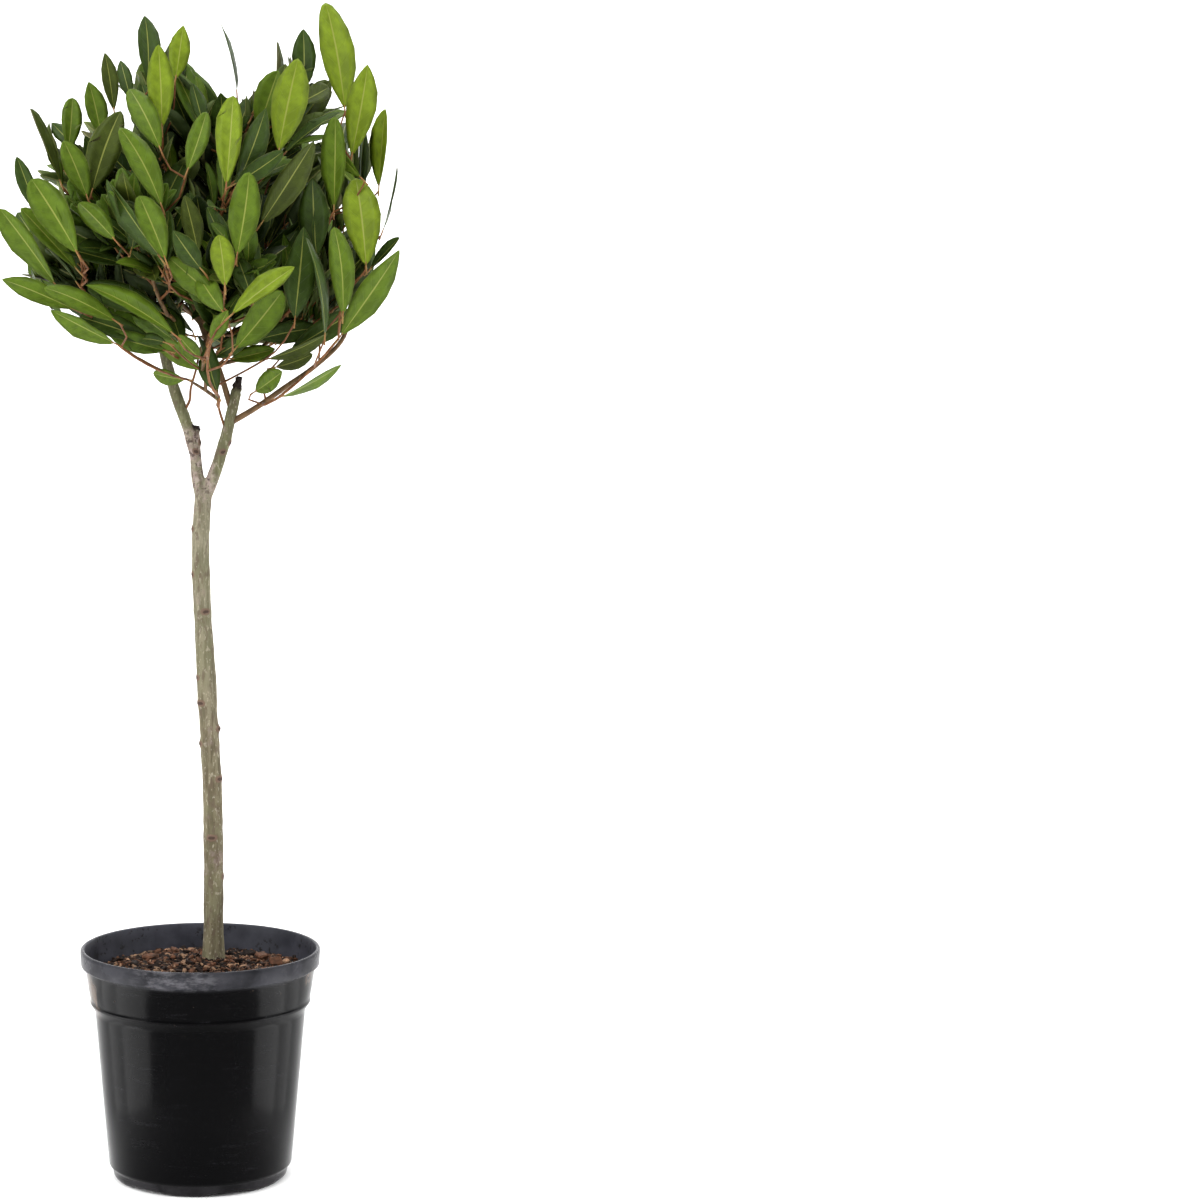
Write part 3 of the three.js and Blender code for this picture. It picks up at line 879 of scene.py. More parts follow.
class BAY_OT_wood(Operator):
    """Grow the stem and boughs together under one bark"""
    bl_idname = "bay.wood"
    bl_label = "Stem and boughs"

    def execute(self, context):
        settings = context.scene.bay_bark
        nodes = ["trunk", "leader_left", "bough_left", "bough_right"]
        finish_piece("stem_and_boughs", wood_mesh(settings), [bark_finish(settings)], nodes)
        return {"FINISHED"}


# ---- Leaves ----

LEAF_ROWS = (0, 0.05, 0.18, 0.36, 0.55, 0.73, 0.88, 0.965, 1)
LEAF_COLUMNS = (-1, -0.52, -0.045, 0.045, 0.52, 1)


def leaf_half_width(along, widest, taper, blunt):
    """Half the width of a leaf at a place along it, as a share of its widest."""
    if along <= 0 or along >= 1:
        return 0.0
    if along < widest:
        return math.sin(math.pi / 2 * along / widest) ** taper
    return math.cos(math.pi / 2 * (along - widest) / (1 - widest)) ** blunt


def bent_leaf(verts, shape, columns, thickness):
    """Shapes a flat grid of one unit into a folded, curling blade whose foot is at the origin."""
    for vert in verts:
        column = columns[round((vert.co.x + 0.5) * (len(columns) - 1))]
        along = LEAF_ROWS[round((vert.co.y + 0.5) * (len(LEAF_ROWS) - 1))]
        half = shape["half"] * leaf_half_width(along, shape["widest"], shape["taper"], shape["blunt"])
        side = column * half
        ripple = math.sin(along * 15 + shape["phase"] + (column > 0) * 1.7)
        wave = shape["wave"] * half * abs(column) ** 2 * ripple
        height = shape["fold"] * abs(side) + wave - shape["curl"] * (along ** 2)
        height -= thickness * (1 - abs(column)) * min(half / shape["half"], 1)
        twist = shape["twist"] * along
        vert.co = Vector((
            side * math.cos(twist) - height * math.sin(twist) + shape["bend"] * along ** 2,
            along - 0.5 * shape["curl"] ** 2 * along ** 3,
            side * math.sin(twist) + height * math.cos(twist),
        ))


def leaf_mesh(shape):
    """A closed leaf one unit long: upper face with its midrib, and a paler underside."""
    bm = bmesh.new()
    bm.loops.layers.uv.new("blade")
    rows = len(LEAF_ROWS) - 1
    wide = len(LEAF_COLUMNS) - 1
    upper = bmesh.ops.create_grid(bm, x_segments=wide, y_segments=rows, size=0.5, calc_uvs=True)["verts"]
    for face in bm.faces:
        middle = face.calc_center_median().x
        face.material_index = 2 if abs(middle) < 0.05 else 0
    upper_faces = set(bm.faces)
    bent_leaf(upper, shape, LEAF_COLUMNS, 0)
    lower = bmesh.ops.create_grid(bm, x_segments=2, y_segments=rows, size=0.5, calc_uvs=True)["verts"]
    lower_faces = [face for face in bm.faces if face not in upper_faces]
    for face in lower_faces:
        face.material_index = 1
    bent_leaf(lower, shape, (-1, 0, 1), 0.014)
    bmesh.ops.reverse_faces(bm, faces=lower_faces)
    bmesh.ops.remove_doubles(bm, verts=bm.verts, dist=1e-5)
    return as_mesh(bm, "leaf")


def leaf_shapes(rng, ratio, count=14):
    shapes = []
    for _ in range(count):
        shapes.append(leaf_mesh({
            "half": ratio / 2 * rng.uniform(0.92, 1.1),
            "widest": rng.uniform(0.5, 0.64),
            "taper": rng.uniform(0.7, 0.95),
            "blunt": rng.choice((0.52, 0.6, 0.7, 0.82, 0.92)),
            "fold": rng.uniform(0.08, 0.42),
            "curl": rng.uniform(-0.08, 0.2),
            "wave": rng.uniform(0.02, 0.09),
            "phase": rng.uniform(0, 6),
            "twist": rng.uniform(-0.35, 0.35),
            "bend": rng.uniform(-0.07, 0.07),
        }))
    return shapes


# Face and underside colour of each tint. The near-black tint for leaves deep in the crown is painted shade,
# standing in for the shadow of its interior.
LEAF_TINTS = {
    "young": ((0.195, 0.276, 0.013), (0.2, 0.26, 0.035)),
    "green": ((0.108, 0.177, 0.011), (0.14, 0.185, 0.04)),
    "mid": ((0.077, 0.137, 0.01), (0.1, 0.14, 0.03)),
    "dark": ((0.042, 0.077, 0.009), (0.055, 0.085, 0.022)),
    "painted_shade": ((0.016, 0.032, 0.005), (0.022, 0.034, 0.01)),
    "bronze": ((0.063, 0.087, 0.01), (0.1, 0.1, 0.03)),
}


def blade_finish(name, colour):
    """A leathery upper face: satin, faintly ribbed, with a thin pale margin."""
    finish = Finish(name, roughness=0.46, specular=0.19, coordinates="UV")
    across, along, _ = finish.axes()
    off_rib = finish.maths("ABSOLUTE", finish.minus(across, 0.5))
    slant = finish.minus(finish.times(along, 11), finish.times(off_rib, 3.2))
    vein = finish.maths("ABSOLUTE", finish.maths("SINE", finish.times(slant, math.pi)))
    vein = finish.ramp(vein, 0.16, 0.0)
    mottle = finish.noise(9, detail=4, source=finish.mapped(scale=(0.36, 1, 1)))
    pale = tuple(min(part * 1.3 + 0.012, 1) for part in colour)
    deep = tuple(part * 0.72 for part in colour)
    tone = finish.mix(finish.ramp(mottle, 0.3, 0.7), deep, tuple(min(part * 1.12, 1) for part in colour))
    tone = finish.mix(finish.times(vein, 0.3), tone, pale)
    margin = finish.ramp(off_rib, 0.465, 0.495)
    tone = finish.mix(finish.times(margin, 0.4), tone, (0.22, 0.25, 0.05))
    finish.colour(tone)
    finish.roughness(finish.ramp(mottle, 0.3, 0.7, 0.4, 0.54))
    finish.bump(finish.times(vein, -1), 0.0006, 0.5)
    return finish.material


def underside_finish(name, colour):
    """The leaf's paler, duller lower face."""
    finish = Finish(name, roughness=0.6, specular=0.3, coordinates="UV")
    mottle = finish.noise(8, detail=4)
    tone = finish.mix(finish.ramp(mottle, 0.3, 0.7), tuple(part * 0.8 for part in colour), colour)
    across, _, _ = finish.axes()
    rib = finish.ramp(finish.maths("ABSOLUTE", finish.minus(across, 0.5)), 0.07, 0.03)
    finish.colour(finish.mix(finish.times(rib, 0.6), tone, (0.42, 0.42, 0.16)))
    return finish.material


def midrib_finish(name, colour):
    """The midrib, yellower than the blade and reddish at its foot."""
    finish = Finish(name, roughness=0.45, specular=0.3, coordinates="UV")
    _, along, _ = finish.axes()
    yellow = tuple(0.35 * part + 0.65 * rib for part, rib in zip(colour, (0.36, 0.38, 0.08)))
    tone = finish.mix(finish.ramp(along, 0.0, 0.25), (0.26, 0.16, 0.04), yellow)
    finish.colour(finish.mix(finish.ramp(along, 0.55, 1.0, 0, 0.8), tone, colour))
    return finish.material


def twig_finish(name, colour, tip_colour):
    """Thin bark, redder on the young wood."""
    finish = Finish(name, roughness=0.6, specular=0.35)
    grain = finish.noise(260, detail=4, source=finish.mapped(scale=(1, 1, 0.4)))
    tone = finish.mix(finish.ramp(grain, 0.35, 0.65), colour, tip_colour)
    dark = finish.patches(90, 0.55, 0.72, 0, 0.6, detail=3)
    finish.colour(finish.mix(dark, tone, tuple(part * 0.4 for part in colour)))
    finish.bump(grain, 0.0002, 0.6)
    return finish.material


# ---- Crown ----

class Leaf:
    """One leaf: where its foot is, which way it points and faces, how long and wide it is, and its tint."""

    def __init__(self, foot, way, facing, length, tint, width=1.0):
        self.foot = foot
        self.length = length
        self.tint = tint
        self.width = width
        self.turn(way, facing)

    def turn(self, way, facing):
        """Points the leaf along a way, and faces it as nearly as it can be faced."""
        self.way = way.normalized()
        self.facing = (facing - self.way * facing.dot(self.way)).normalized()

    @property
    def tip(self):
        return self.foot + self.way * self.length

    def matrix(self):
        side = self.way.cross(self.facing)
        turn = Matrix((side, self.way, self.facing)).transposed().to_4x4()
        size = Matrix.Diagonal((self.length * self.width, self.length, self.length, 1))
        return Matrix.Translation(self.foot) @ turn @ size


class Shoot:
    """The end of a twig, with the leaves that it carries."""

    def __init__(self, end, way):
        self.end = end
        self.way = way.normalized()
        self.leaves = []

    @property
    def base(self):
        """Where the straight, leafy end of the twig begins."""
        depth = max([(self.end - leaf.foot).dot(self.way) for leaf in self.leaves] + [0])
        return self.end - self.way * (depth + 0.003)


def seen(point):
    """Where a place shows, in millimetres across and up, on an upright sheet through the stem."""
    near = VIEW_DISTANCE / (VIEW_DISTANCE + point.y)
    return point.x * near / MM, (VIEW_HEIGHT + (point.z - VIEW_HEIGHT) * near) / MM


def in_chink(point):
    across, height = seen(point)
    for x, z, half_x, half_z in CHINKS:
        if ((across - x) / half_x) ** 2 + ((height - z) / half_z) ** 2 < 1:
            return True
    return False


def crown_reaches():
    """Direction and distance of each leading tip from the crown's middle."""
    reaches = []
    for _, _, tip, wide in LEADERS:
        if wide < 8:
            continue
        across, height = seen(Vector(tip) * MM)
        away = Vector((across - CROWN_MIDDLE[0], height - CROWN_MIDDLE[1]))
        reaches.append((math.atan2(away.y, away.x), away.length))
    return reaches


def in_outline(point, reaches):
    """Whether a place is inside the crown's depth and the ragged outline that the leading tips draw."""
    across, height = seen(point)
    away = Vector((across - CROWN_MIDDLE[0], height - CROWN_MIDDLE[1]))
    angle = math.atan2(away.y, away.x)
    reach = 0.0
    for tip_angle, distance in reaches:
        apart = abs((angle - tip_angle + math.pi) % math.tau - math.pi)
        reach = max(reach, distance * (1 - 1.05 * apart))
    if away.length > reach * 0.95:
        return False
    deep = max(1 - (away.length / 165) ** 2, 0) ** 0.5
    return -0.147 * deep - 0.012 < point.y < 0.148 * deep + 0.012 and point.z < 0.9


def hides_leader(leaf):
    """Whether a leaf would stand in front of one of the leading leaves."""
    for share in (0.3, 0.6, 0.92):
        point = leaf.foot + leaf.way * leaf.length * share
        spot = Vector(seen(point))
        for _, foot, tip, wide in LEADERS:
            if point.y > foot[1] * MM + 0.004:
                continue
            start, end = Vector(seen(Vector(foot) * MM)), Vector(seen(Vector(tip) * MM))
            along = max(min((spot - start).dot(end - start) / (end - start).length_squared, 1), 0.15)
            if (start.lerp(end, along) - spot).length < wide / 2 + 5:
                return True
    return False


def mass_boxes():
    boxes = []
    for node in MASSES:
        low, high = (Vector(corner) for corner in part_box(node))
        boxes.append(((low + high) / 2, (high - low) / 2))
    return boxes


def outward(point, toward_front=0.0):
    away = point - CROWN_HEART
    away.z *= 0.6 if away.z > 0 else 0.2
    return (away.normalized() + FRONT * toward_front + UP * 0.25).normalized()


def fits(leaf, reaches):
    middle = leaf.foot + leaf.way * leaf.length * 0.6
    return not (
        in_chink(leaf.tip) or in_chink(middle) or not in_outline(leaf.tip, reaches) or hides_leader(leaf)
    )


def made_to_fit(leaf, reaches):
    """Whether a leaf fits, if need be after it is shortened once."""
    if fits(leaf, reaches):
        return True
    leaf.length *= 0.75
    return fits(leaf, reaches)


def even_way(i, count, around):
    """One of a number of ways spread evenly over a ball."""
    height = 1 - 2 * (i + 0.5) / count
    flat = math.sqrt(1 - height * height)
    return Vector((flat * math.cos(around), flat * math.sin(around), height))


def whorl(rng, shoot, count, settings, tints, reaches, behind):
    """Leaves set in a spiral down a shoot, spreading and turning up, the lower ones spreading more."""
    side = shoot.way.orthogonal().normalized()
    start = rng.random() * math.tau
    made = 0
    for i in range(count * 3):
        if made >= count:
            break
        turn = Quaternion(shoot.way, start + i * GOLDEN)
        spread = (turn @ side).normalized()
        if behind and spread.dot(FRONT) > 0.5:
            continue
        foot = shoot.end - shoot.way * settings.spacing * made * rng.uniform(0.7, 1.0)
        angle = math.radians(rng.uniform(16, 34) + 5 * made)
        way = (shoot.way * math.cos(angle) + spread * math.sin(angle) + UP * 0.2).normalized()
        length = settings.leaf_length * rng.uniform(0.72, 1.12)
        facing = (shoot.way * 0.7 - spread * 0.7 + outward(foot, 0.3) * 0.9).normalized()
        leaf = Leaf(foot, way, facing, length, rng.choice(tints), rng.uniform(0.85, 1.05))
        if not made_to_fit(leaf, reaches):
            continue
        shoot.leaves.append(leaf)
        made += 1


def leading_shoots(rng, settings, reaches):
    """The shoots whose end leaves make the crown's face and outline."""
    # Tints for the leaves behind each leading leaf, darker than its own: painted shade for the shadowed depth
    # behind the crown's face.
    near = {
        "young": ["green", "mid", "mid", "dark"],
        "green": ["mid", "mid", "dark", "green", "bronze"],
        "bronze": ["mid", "dark", "bronze"],
        "mid": ["mid", "dark", "dark"],
        "dark": ["dark", "dark", "mid", "painted_shade"],
    }
    shoots = []
    for tint, foot, tip, wide in LEADERS:
        foot = Vector(foot) * MM
        across = Vector(tip) * MM - foot
        flat = across.length
        length = max(flat * 1.02, wide * MM / (settings.leaf_ratio * 1.15))
        hidden = math.sqrt(max(length ** 2 - flat ** 2, 0))
        lean = hidden * (1 if foot.y > -0.015 else rng.choice((-0.8, 0.6)))
        across.y = max(min(lean, 0.03), -0.03)
        share = min(wide * MM / (settings.leaf_ratio * length), 1)
        roll = math.acos(share) * rng.choice((-1, 1)) if share < 0.8 else rng.uniform(-0.35, 0.35)
        way = across.normalized()
        level = (FRONT - way * FRONT.dot(way)).normalized()
        lift = 0.6 if foot.z < 0.69 else 0
        shoot = Shoot(foot - way * 0.003, (way * 0.6 + outward(foot) * 0.9 + UP * lift).normalized())
        broad = min(max(wide * MM / (settings.leaf_ratio * length), 0.85), 1.15)
        shoot.leaves.append(Leaf(foot, way, Quaternion(way, roll) @ level, across.length * 1.05, tint, broad))
        count = settings.siblings if foot.z > 0.668 else 1
        whorl(rng, shoot, count, settings, near[tint], reaches, behind=True)
        shoots.append(shoot)
    return shoots


def backing_shoots(rng, settings, reaches):
    """Shoots tucked in behind the foremost leaves and turned sideways, so that the front is full there."""
    shoots = []
    for _, foot, tip, _ in LEADERS:
        foot, tip = Vector(foot) * MM, Vector(tip) * MM
        rise = (tip - foot).normalized()
        depth = foot.y + 0.02
        while depth < -0.015:
            end = Vector((foot.x, depth, foot.z + rng.uniform(-0.012, 0.004)))
            shoot = Shoot(end, rise * 0.5 + outward(end) * 0.6 + UP * 0.2)
            for side in (-1, 1):
                facing = Vector((side, rng.uniform(-0.6, 0.2), 0.3))
                way = rise + Vector((side * 0.12, rng.uniform(-0.35, 0.45), 0))
                length = settings.leaf_length * rng.uniform(0.6, 0.95)
                leaf = Leaf(end, way, facing, length, rng.choice(("mid", "green", "dark")))
                if fits(leaf, reaches):
                    shoot.leaves.append(leaf)
            if shoot.leaves:
                shoots.append(shoot)
            depth += rng.uniform(0.018, 0.026)
    return shoots


def rear_shoots(rng, settings, reaches):
    """Shoots over the sides and back, spaced evenly, so that the crown is as leafy there as in front."""
    tints = ["young", "green", "green", "mid", "mid", "dark", "bronze"]
    near = ["mid", "dark", "green", "mid", "dark"]
    shoots = []
    for i in range(settings.rear):
        way = even_way(i, settings.rear, i * GOLDEN + rng.uniform(-0.3, 0.3))
        if way.y < -0.2:
            continue
        swell = rng.uniform(0.8, 1.14)
        foot = CROWN_CORE + Vector((way.x * 0.108, way.y * 0.098, way.z * 0.088)) * swell
        if foot.z < 0.668:
            continue
        lift = UP * rng.uniform(0.2, 0.7)
        course = (outward(foot) + lift + way.orthogonal() * rng.uniform(-0.3, 0.3)).normalized()
        shoot = Shoot(foot, (course + outward(foot) * 0.6).normalized())
        facing = outward(foot) + Vector((rng.uniform(-0.4, 0.4), rng.uniform(-0.4, 0.4), 0.2))
        leaf = Leaf(foot, course, facing, settings.leaf_length * rng.uniform(0.9, 1.3), rng.choice(tints))
        if not made_to_fit(leaf, reaches):
            continue
        shoot.leaves.append(leaf)
        whorl(rng, shoot, settings.siblings, settings, near, reaches, behind=False)
        shoots.append(shoot)
    return shoots


def filling_shoots(rng, settings, reaches):
    """Shoots spread through each mass, so that the crown is full from every side, and darker within by
    painted shade: the deeper leaves take darker tints.
    """
    shoots = []
    # Tints by depth, as painted shade: the inner leaves take the near-black tint, and the middle layer in
    # front takes darker greens than the outer leaves.
    outer = ["mid", "dark", "mid", "bronze", "green"]
    middle = ["mid", "dark", "dark", "bronze", "mid"]
    inner = ["painted_shade", "painted_shade", "dark"]
    for centre, half in mass_boxes():
        count = settings.shoots if centre.z < 0.78 else settings.shoots - 4
        for i in range(count):
            way = even_way(i, count, i * GOLDEN + rng.random() * 0.8)
            end = centre + Vector((way.x * half.x, way.y * half.y, way.z * half.z)) * rng.uniform(0.1, 0.68)
            end.z = max(end.z - 0.012, 0.662)
            if in_chink(end):
                continue
            course = (way * 0.3 + outward(end) * 0.9 + UP * 0.35).normalized()
            length = settings.leaf_length * rng.uniform(0.7, 1)
            crest = Leaf(end, course, outward(end, 0.2), length, "green")
            while hides_leader(crest) and end.y < 0.03:
                end.y += 0.012
                crest.foot = end.copy()
            far = Vector((end.x / 0.13, end.y / 0.13, (end.z - 0.75) / 0.12)).length
            tints = inner if far < 0.55 else middle if end.y < 0.02 else outer
            crest.tint = rng.choice(tints)
            shoot = Shoot(end, course)
            if fits(crest, reaches):
                shoot.leaves.append(crest)
            whorl(rng, shoot, rng.choice((4, 5, 6)), settings, tints, reaches, behind=False)
            if shoot.leaves:
                shoots.append(shoot)
    return shoots


class Joint:
    """A place on the branching where a twig may start."""

    def __init__(self, point, parent, depth):
        self.point = point
        self.parent = parent
        self.depth = depth
        self.load = 0.0


def start_joints():
    """Places on the boughs, branches and first twigs, high enough to carry the crown."""
    joints = []
    for name, lowest in BEARERS.items():
        path, _ = limb_path(name, 6)
        previous = None
        for point in path:
            joint = Joint(point, previous, 0)
            previous = joint
            if point.z > lowest * MM:
                joints.append(joint)
    return joints


def grow_twigs(rng, shoots):
    """Ties each shoot to the branching so far, from the heart of the crown outwards."""
    joints = start_joints()
    runs = []
    for shoot in sorted(shoots, key=lambda item: (item.base - Vector((0, 0.01, 0.68))).length):
        base = shoot.base
        best, least = None, 1e9
        for joint in joints:
            span = base - joint.point
            length = max(span.length, 0.004)
            cost = length * (1 + 1.6 * (1 - span.dot(shoot.way) / length)) + joint.depth * 0.003
            cost *= 1 + 2.4 * max(0.45 - span.z / length, 0)
            cost *= 1 + 260 * max(-base.xy.normalized().dot(joint.point.xy) - 0.006, 0)
            cost += max(-joint.point.y - 0.05, 0) * 0.5
            if cost < least:
                best, least = joint, cost
        span = base - best.point
        middle = base - shoot.way * span.length * 0.5
        middle += Vector((rng.uniform(-1, 1), rng.uniform(-1, 1), rng.uniform(-1, 0.5))) * span.length * 0.06
        steps = max(1, min(6, round(span.length / 0.014)))
        run = [best]
        for i in range(1, steps + 1):
            t = i / steps
            point = best.point * (1 - t) ** 2 + middle * 2 * t * (1 - t) + base * t ** 2
            run.append(Joint(point, run[-1], best.depth + 1))
        run.append(Joint(shoot.end, run[-1], best.depth + 1))
        joints.extend(run[1:])
        runs.append(run)
        joint = run[-1]
        while joint is not None:
            joint.load += 1
            joint = joint.parent
    return runs


def side_leaves(rng, runs, settings, reaches):
    """Smaller leaves set along the longer twigs, where they would otherwise be bare."""
    shoots = []
    for run in runs:
        reach = (run[-1].point - run[0].point).length
        if reach < 0.03:
            continue
        for i in range(1, len(run) - 1):
            along = (run[i + 1].point - run[i - 1].point).normalized()
            turn = Quaternion(along, rng.random() * math.tau)
            spread = (turn @ along.orthogonal()).normalized()
            foot = run[i].point + spread * 0.004
            way = (along * 0.9 + spread * 0.8 + UP * 0.2).normalized()
            length = settings.leaf_length * rng.uniform(0.55, 0.95)
            facing = (along * 0.6 - spread * 0.6 + outward(foot) * 0.8).normalized()
            leaf = Leaf(foot, way, facing, length, rng.choice(("mid", "dark", "dark", "green")))
            if foot.z < 0.645 or not fits(leaf, reaches):
                continue
            shoot = Shoot(run[i].point, along)
            shoot.leaves.append(leaf)
            shoots.append(shoot)
    return shoots


def twig_radius(load):
    return 0.72 * MM * max(load, 1) ** 0.27


def add_stalks(stalks, shoot):
    """The short reddish stalk of each leaf on a shoot."""
    for leaf in shoot.leaves:
        below = max((shoot.end - leaf.foot).dot(shoot.way), 0)
        start = shoot.end - shoot.way * below - leaf.way * 0.004
        end = leaf.foot + leaf.way * 0.003
        gather(stalks, tube([start, start.lerp(end, 0.5), end], [0.75 * MM, 0.65 * MM, 0.6 * MM], 5))


def add_twigs(runs, twigs, branches):
    """The twigs as tapering tubes, the stoutest of them among the branches."""
    for run in runs:
        radii = [twig_radius(joint.load) for joint in run]
        radii[0] = min(radii[0], radii[1] * 1.2)
        stout = radii[1] > 1.35 * MM
        gather(branches if stout else twigs, tube([joint.point for joint in run], radii, 8 if stout else 6))
    for name in BEARERS:
        if name != "bough_left":
            path, radii = limb_path(name, 6)
            gather(branches if name.startswith("branch") else twigs, tube(path, radii, 10))


def turn_in(leaf):
    """Turns a leaf that would reach past the frame's front or left side more upright."""
    span = leaf.way * leaf.length
    span.x = max(span.x, cad_low[0] + EDGE_MARGIN - leaf.foot.x)
    span.y = max(span.y, cad_low[1] - leaf.foot.y)
    leaf.width *= leaf.length / span.length
    leaf.length = span.length
    leaf.turn(span, leaf.facing)


def build_crown(settings):
    rng = random.Random(settings.seed)
    shapes = leaf_shapes(rng, settings.leaf_ratio)
    reaches = crown_reaches()
    shoots = leading_shoots(rng, settings, reaches)
    shoots += rear_shoots(rng, settings, reaches)
    shoots += filling_shoots(rng, settings, reaches)
    shoots += backing_shoots(rng, settings, reaches)
    twigs, branches, stalks = bmesh.new(), bmesh.new(), bmesh.new()
    runs = grow_twigs(rng, shoots)
    shoots += side_leaves(rng, runs, settings, reaches)
    add_twigs(runs, twigs, branches)
    blades = {tint: bmesh.new() for tint in LEAF_TINTS}
    for shoot in shoots:
        for leaf in shoot.leaves:
            turn_in(leaf)
        add_stalks(stalks, shoot)
        for leaf in shoot.leaves:
            gather(blades[leaf.tint], rng.choice(shapes).copy(), leaf.matrix())
    red = twig_finish("young twig", (0.15, 0.054, 0.017), (0.25, 0.105, 0.032))
    brown = twig_finish("older twig", (0.125, 0.072, 0.03), (0.21, 0.12, 0.052))
    stalk = twig_finish("leaf stalk", (0.3, 0.12, 0.04), (0.38, 0.24, 0.07))
    finish_piece("twigs", twigs, [red], [])
    finish_piece("branches", branches, [brown], ["branch_right", "branch_centre"])
    finish_piece("leaf_stalks", stalks, [stalk], [])
    for tint, (face, under) in LEAF_TINTS.items():
        finishes = [
            blade_finish(f"{tint} leaf face", face), underside_finish(f"{tint} leaf underside", under),
            midrib_finish(f"{tint} leaf midrib", face),
        ]
        finish_piece(f"leaves_{tint}", blades[tint], finishes, MASSES if tint == "green" else [])
    for shape in shapes:
        bpy.data.meshes.remove(shape)


class BAY_OT_crown(Operator):
    """Grow the crown's twigs from the boughs and dress them with leaves"""
    bl_idname = "bay.crown"
    bl_label = "Crown"

    def execute(self, context):
        build_crown(context.scene.bay_crown)
        return {"FINISHED"}


# ---- Stage ----

# How far the floor reaches to the sides and the front, where it bends up, and the bend's radius, in metres.
FLOOR_REACH, FLOOR_BEND, FLOOR_CURVE = 12, 3.2, 1.6
STRIP_HEIGHT = 0.062


def aim(item, way):
    """Turns a lamp so that it shines along the given way."""
    item.rotation_mode = "QUATERNION"
    item.rotation_quaternion = way.to_track_quat("-Z", "Y")


def make_light(name, energy, size, place, target):
    """A rectangular softbox."""
    data = bpy.data.lights.new(name, "AREA")
    data.energy = energy
    data.shape = "RECTANGLE"
    data.size, data.size_y = size
    light = place_object(name, data)
    light.location = place
    aim(light, Vector(target) - Vector(place))
    return light


def make_key():
    """A broad, soft key from above in front, even over the whole floor."""
    data = bpy.data.lights.new("key", "SUN")
    data.energy = 1.75
    data.angle = math.radians(42)
    aim(place_object("key", data), Vector((0.7, 1.6, -2.3)))


def make_camera(settings):
    data = bpy.data.cameras.new("camera")
    data.lens = settings.lens
    data.sensor_width = 36
    camera = place_object("camera", data)
    ahead = Vector((
        math.sin(settings.yaw) * math.cos(settings.pitch),
        math.cos(settings.yaw) * math.cos(settings.pitch),
        -math.sin(settings.pitch),
    ))
    right = ahead.cross(UP).normalized()
    above = right.cross(ahead)
    level = Matrix((right, above, -ahead)).transposed()
    camera.matrix_world = Matrix.Translation((0, -settings.distance, settings.height)) @ (
        level @ Matrix.Rotation(settings.roll, 3, "Z")
    ).to_4x4()
    bpy.context.scene.camera = camera


def make_floor():
    """A plain pale sheet that runs back and curves up behind."""
    bm = bmesh.new()
    profile = [(-FLOOR_REACH, 0), (0, 0), (FLOOR_BEND, 0)]
    for i in range(1, 9):
        angle = math.radians(i * 90 / 8)
        back = FLOOR_BEND + FLOOR_CURVE * math.sin(angle)
        profile.append((back, FLOOR_CURVE - FLOOR_CURVE * math.cos(angle)))
    profile.append((4.8, 5))
    _, edges = draw_line(bm, [(-FLOOR_REACH, y, z) for y, z in profile])
    made = bmesh.ops.extrude_edge_only(bm, edges=edges)["geom"]
    moved = [item for item in made if isinstance(item, bmesh.types.BMVert)]
    bmesh.ops.translate(bm, vec=(2 * FLOOR_REACH, 0, 0), verts=moved)
    bmesh.ops.recalc_face_normals(bm, faces=bm.faces)
    mesh = as_mesh(bm, "floor")
    mesh.polygons.foreach_set("use_smooth", [True] * len(mesh.polygons))
    finish = Finish("pale floor", roughness=0.9, specular=0.1)
    finish.colour(finish.mix(finish.patches(3, 0.3, 0.7, detail=2), (0.9, 0.9, 0.9), (0.915, 0.915, 0.915)))
    mesh.materials.append(finish.material)
    floor = place_object("floor", mesh)


def make_world():
    world = bpy.data.worlds.new("studio")
    world.use_nodes = True
    world.node_tree.nodes["Background"].inputs["Color"].default_value = (1, 1, 1, 1)
    world.node_tree.nodes["Background"].inputs["Strength"].default_value = 0.52
    bpy.context.scene.world = world


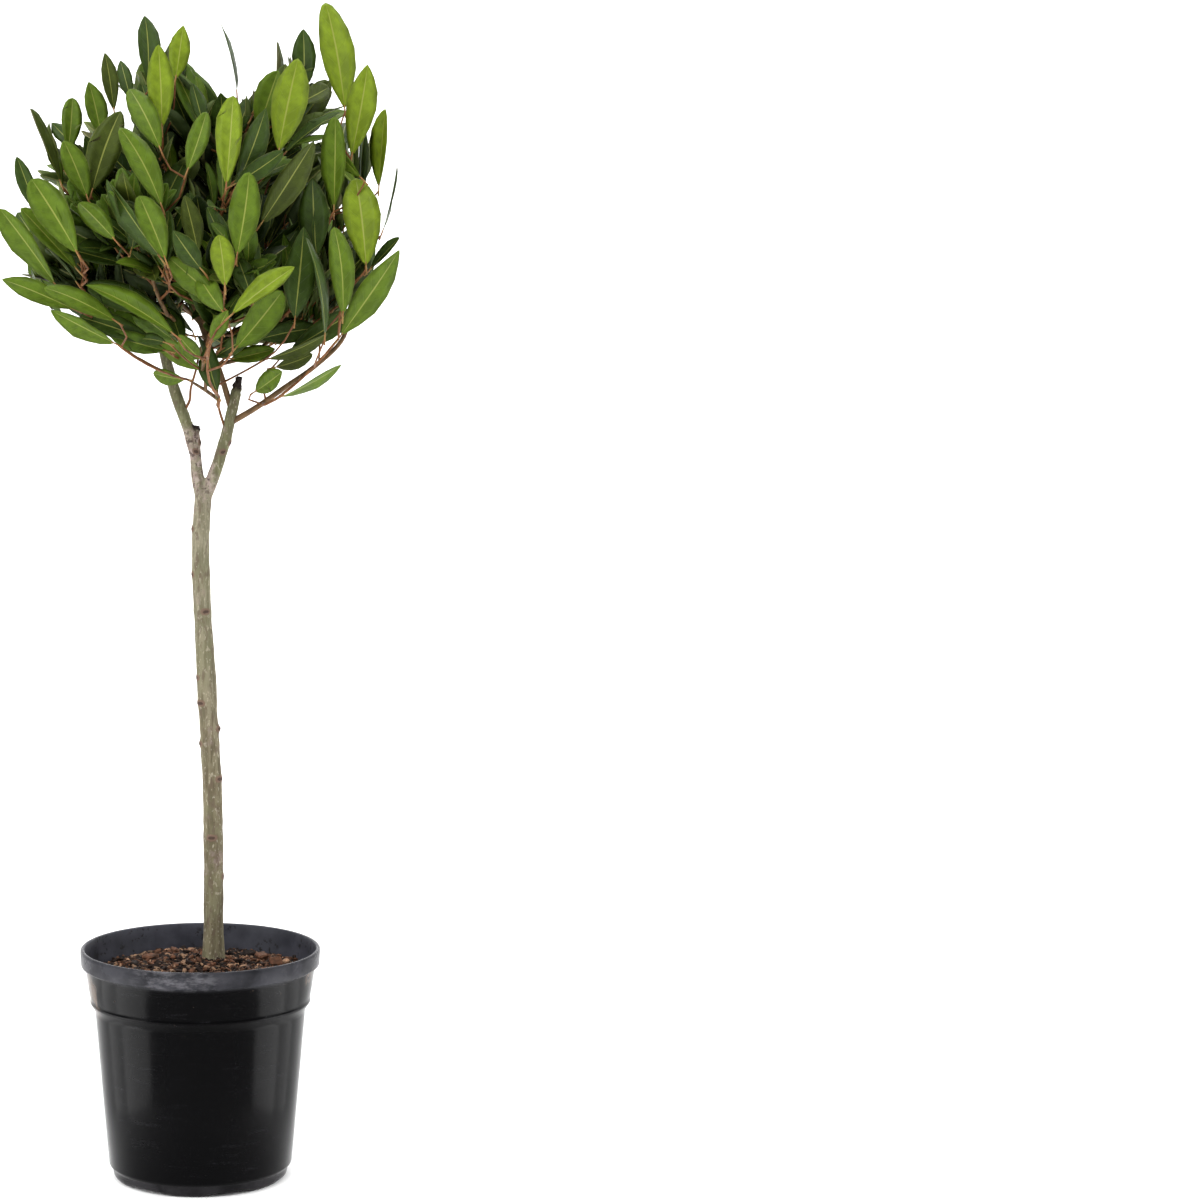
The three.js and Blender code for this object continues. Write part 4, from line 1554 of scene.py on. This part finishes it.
class BAY_OT_stage(Operator):
    """Set the floor, the soft lights and the camera"""
    bl_idname = "bay.stage"
    bl_label = "Stage"

    def execute(self, context):
        make_floor()
        make_world()
        middle = (0, 0, 0.5)
        make_light("softbox_left", 24, (1.1, 2.6), (-2.1, -0.9, 1.0), middle)
        make_light("softbox_right", 17, (1.0, 2.6), (2.2, -0.45, 1.0), middle)
        make_key()
        make_light("backdrop_light", 260, (5.0, 1.2), (0.6, 1.6, 4.2), (0.6, 4.6, 1.0))
        for side, front, back, power in ((-1, -0.162, -0.03, 0.29), (1, -0.142, -0.03, 0.24)):
            middle_y = (front + back) / 2
            for name, energy, wide, y in (
                ("pot_strip", power, back - front, middle_y), ("pot_strip_back", power * 0.2, 0.07, 0.01),
            ):
                place = (side * 0.2, y, STRIP_HEIGHT)
                make_light(name, energy, (wide, 0.12), place, (0, y, STRIP_HEIGHT)).visible_camera = False
        make_camera(context.scene.bay_stage)
        context.scene.view_settings.view_transform = "Standard"
        return {"FINISHED"}


class BAY_PT_panel(Panel):
    """Sizes, colours and steps of the bay standard"""
    bl_label = "Bay Standard"
    bl_idname = "BAY_PT_panel"
    bl_space_type = "VIEW_3D"
    bl_region_type = "UI"
    bl_category = "Bay"

    def draw(self, context):
        layout = self.layout
        for group, _, operator in PARTS:
            box = layout.box()
            settings = getattr(context.scene, group)
            for name in settings.bl_rna.properties.keys():
                if name not in {"rna_type", "name"}:
                    box.prop(settings, name)
            box.operator(operator)


PARTS = [
    ("bay_pot", PotSettings, "bay.pot"),
    ("bay_compost", CompostSettings, "bay.compost"),
    ("bay_bark", BarkSettings, "bay.wood"),
    ("bay_crown", CrownSettings, "bay.crown"),
    ("bay_stage", StageSettings, "bay.stage"),
]
OPERATORS = [BAY_OT_pot, BAY_OT_compost, BAY_OT_wood, BAY_OT_crown, BAY_OT_stage]


def register():
    for group, settings, _ in PARTS:
        bpy.utils.register_class(settings)
        setattr(bpy.types.Scene, group, PointerProperty(type=settings))
    for item in OPERATORS + [BAY_PT_panel]:
        bpy.utils.register_class(item)


def unregister():
    for item in [BAY_PT_panel] + OPERATORS[::-1]:
        bpy.utils.unregister_class(item)
    for group, settings, _ in PARTS[::-1]:
        delattr(bpy.types.Scene, group)
        bpy.utils.unregister_class(settings)


def main():
    register()
    bpy.ops.bay.pot()
    bpy.ops.bay.compost()
    bpy.ops.bay.wood()
    bpy.ops.bay.crown()
    bpy.ops.bay.stage()


if __name__ == "__main__":
    main()
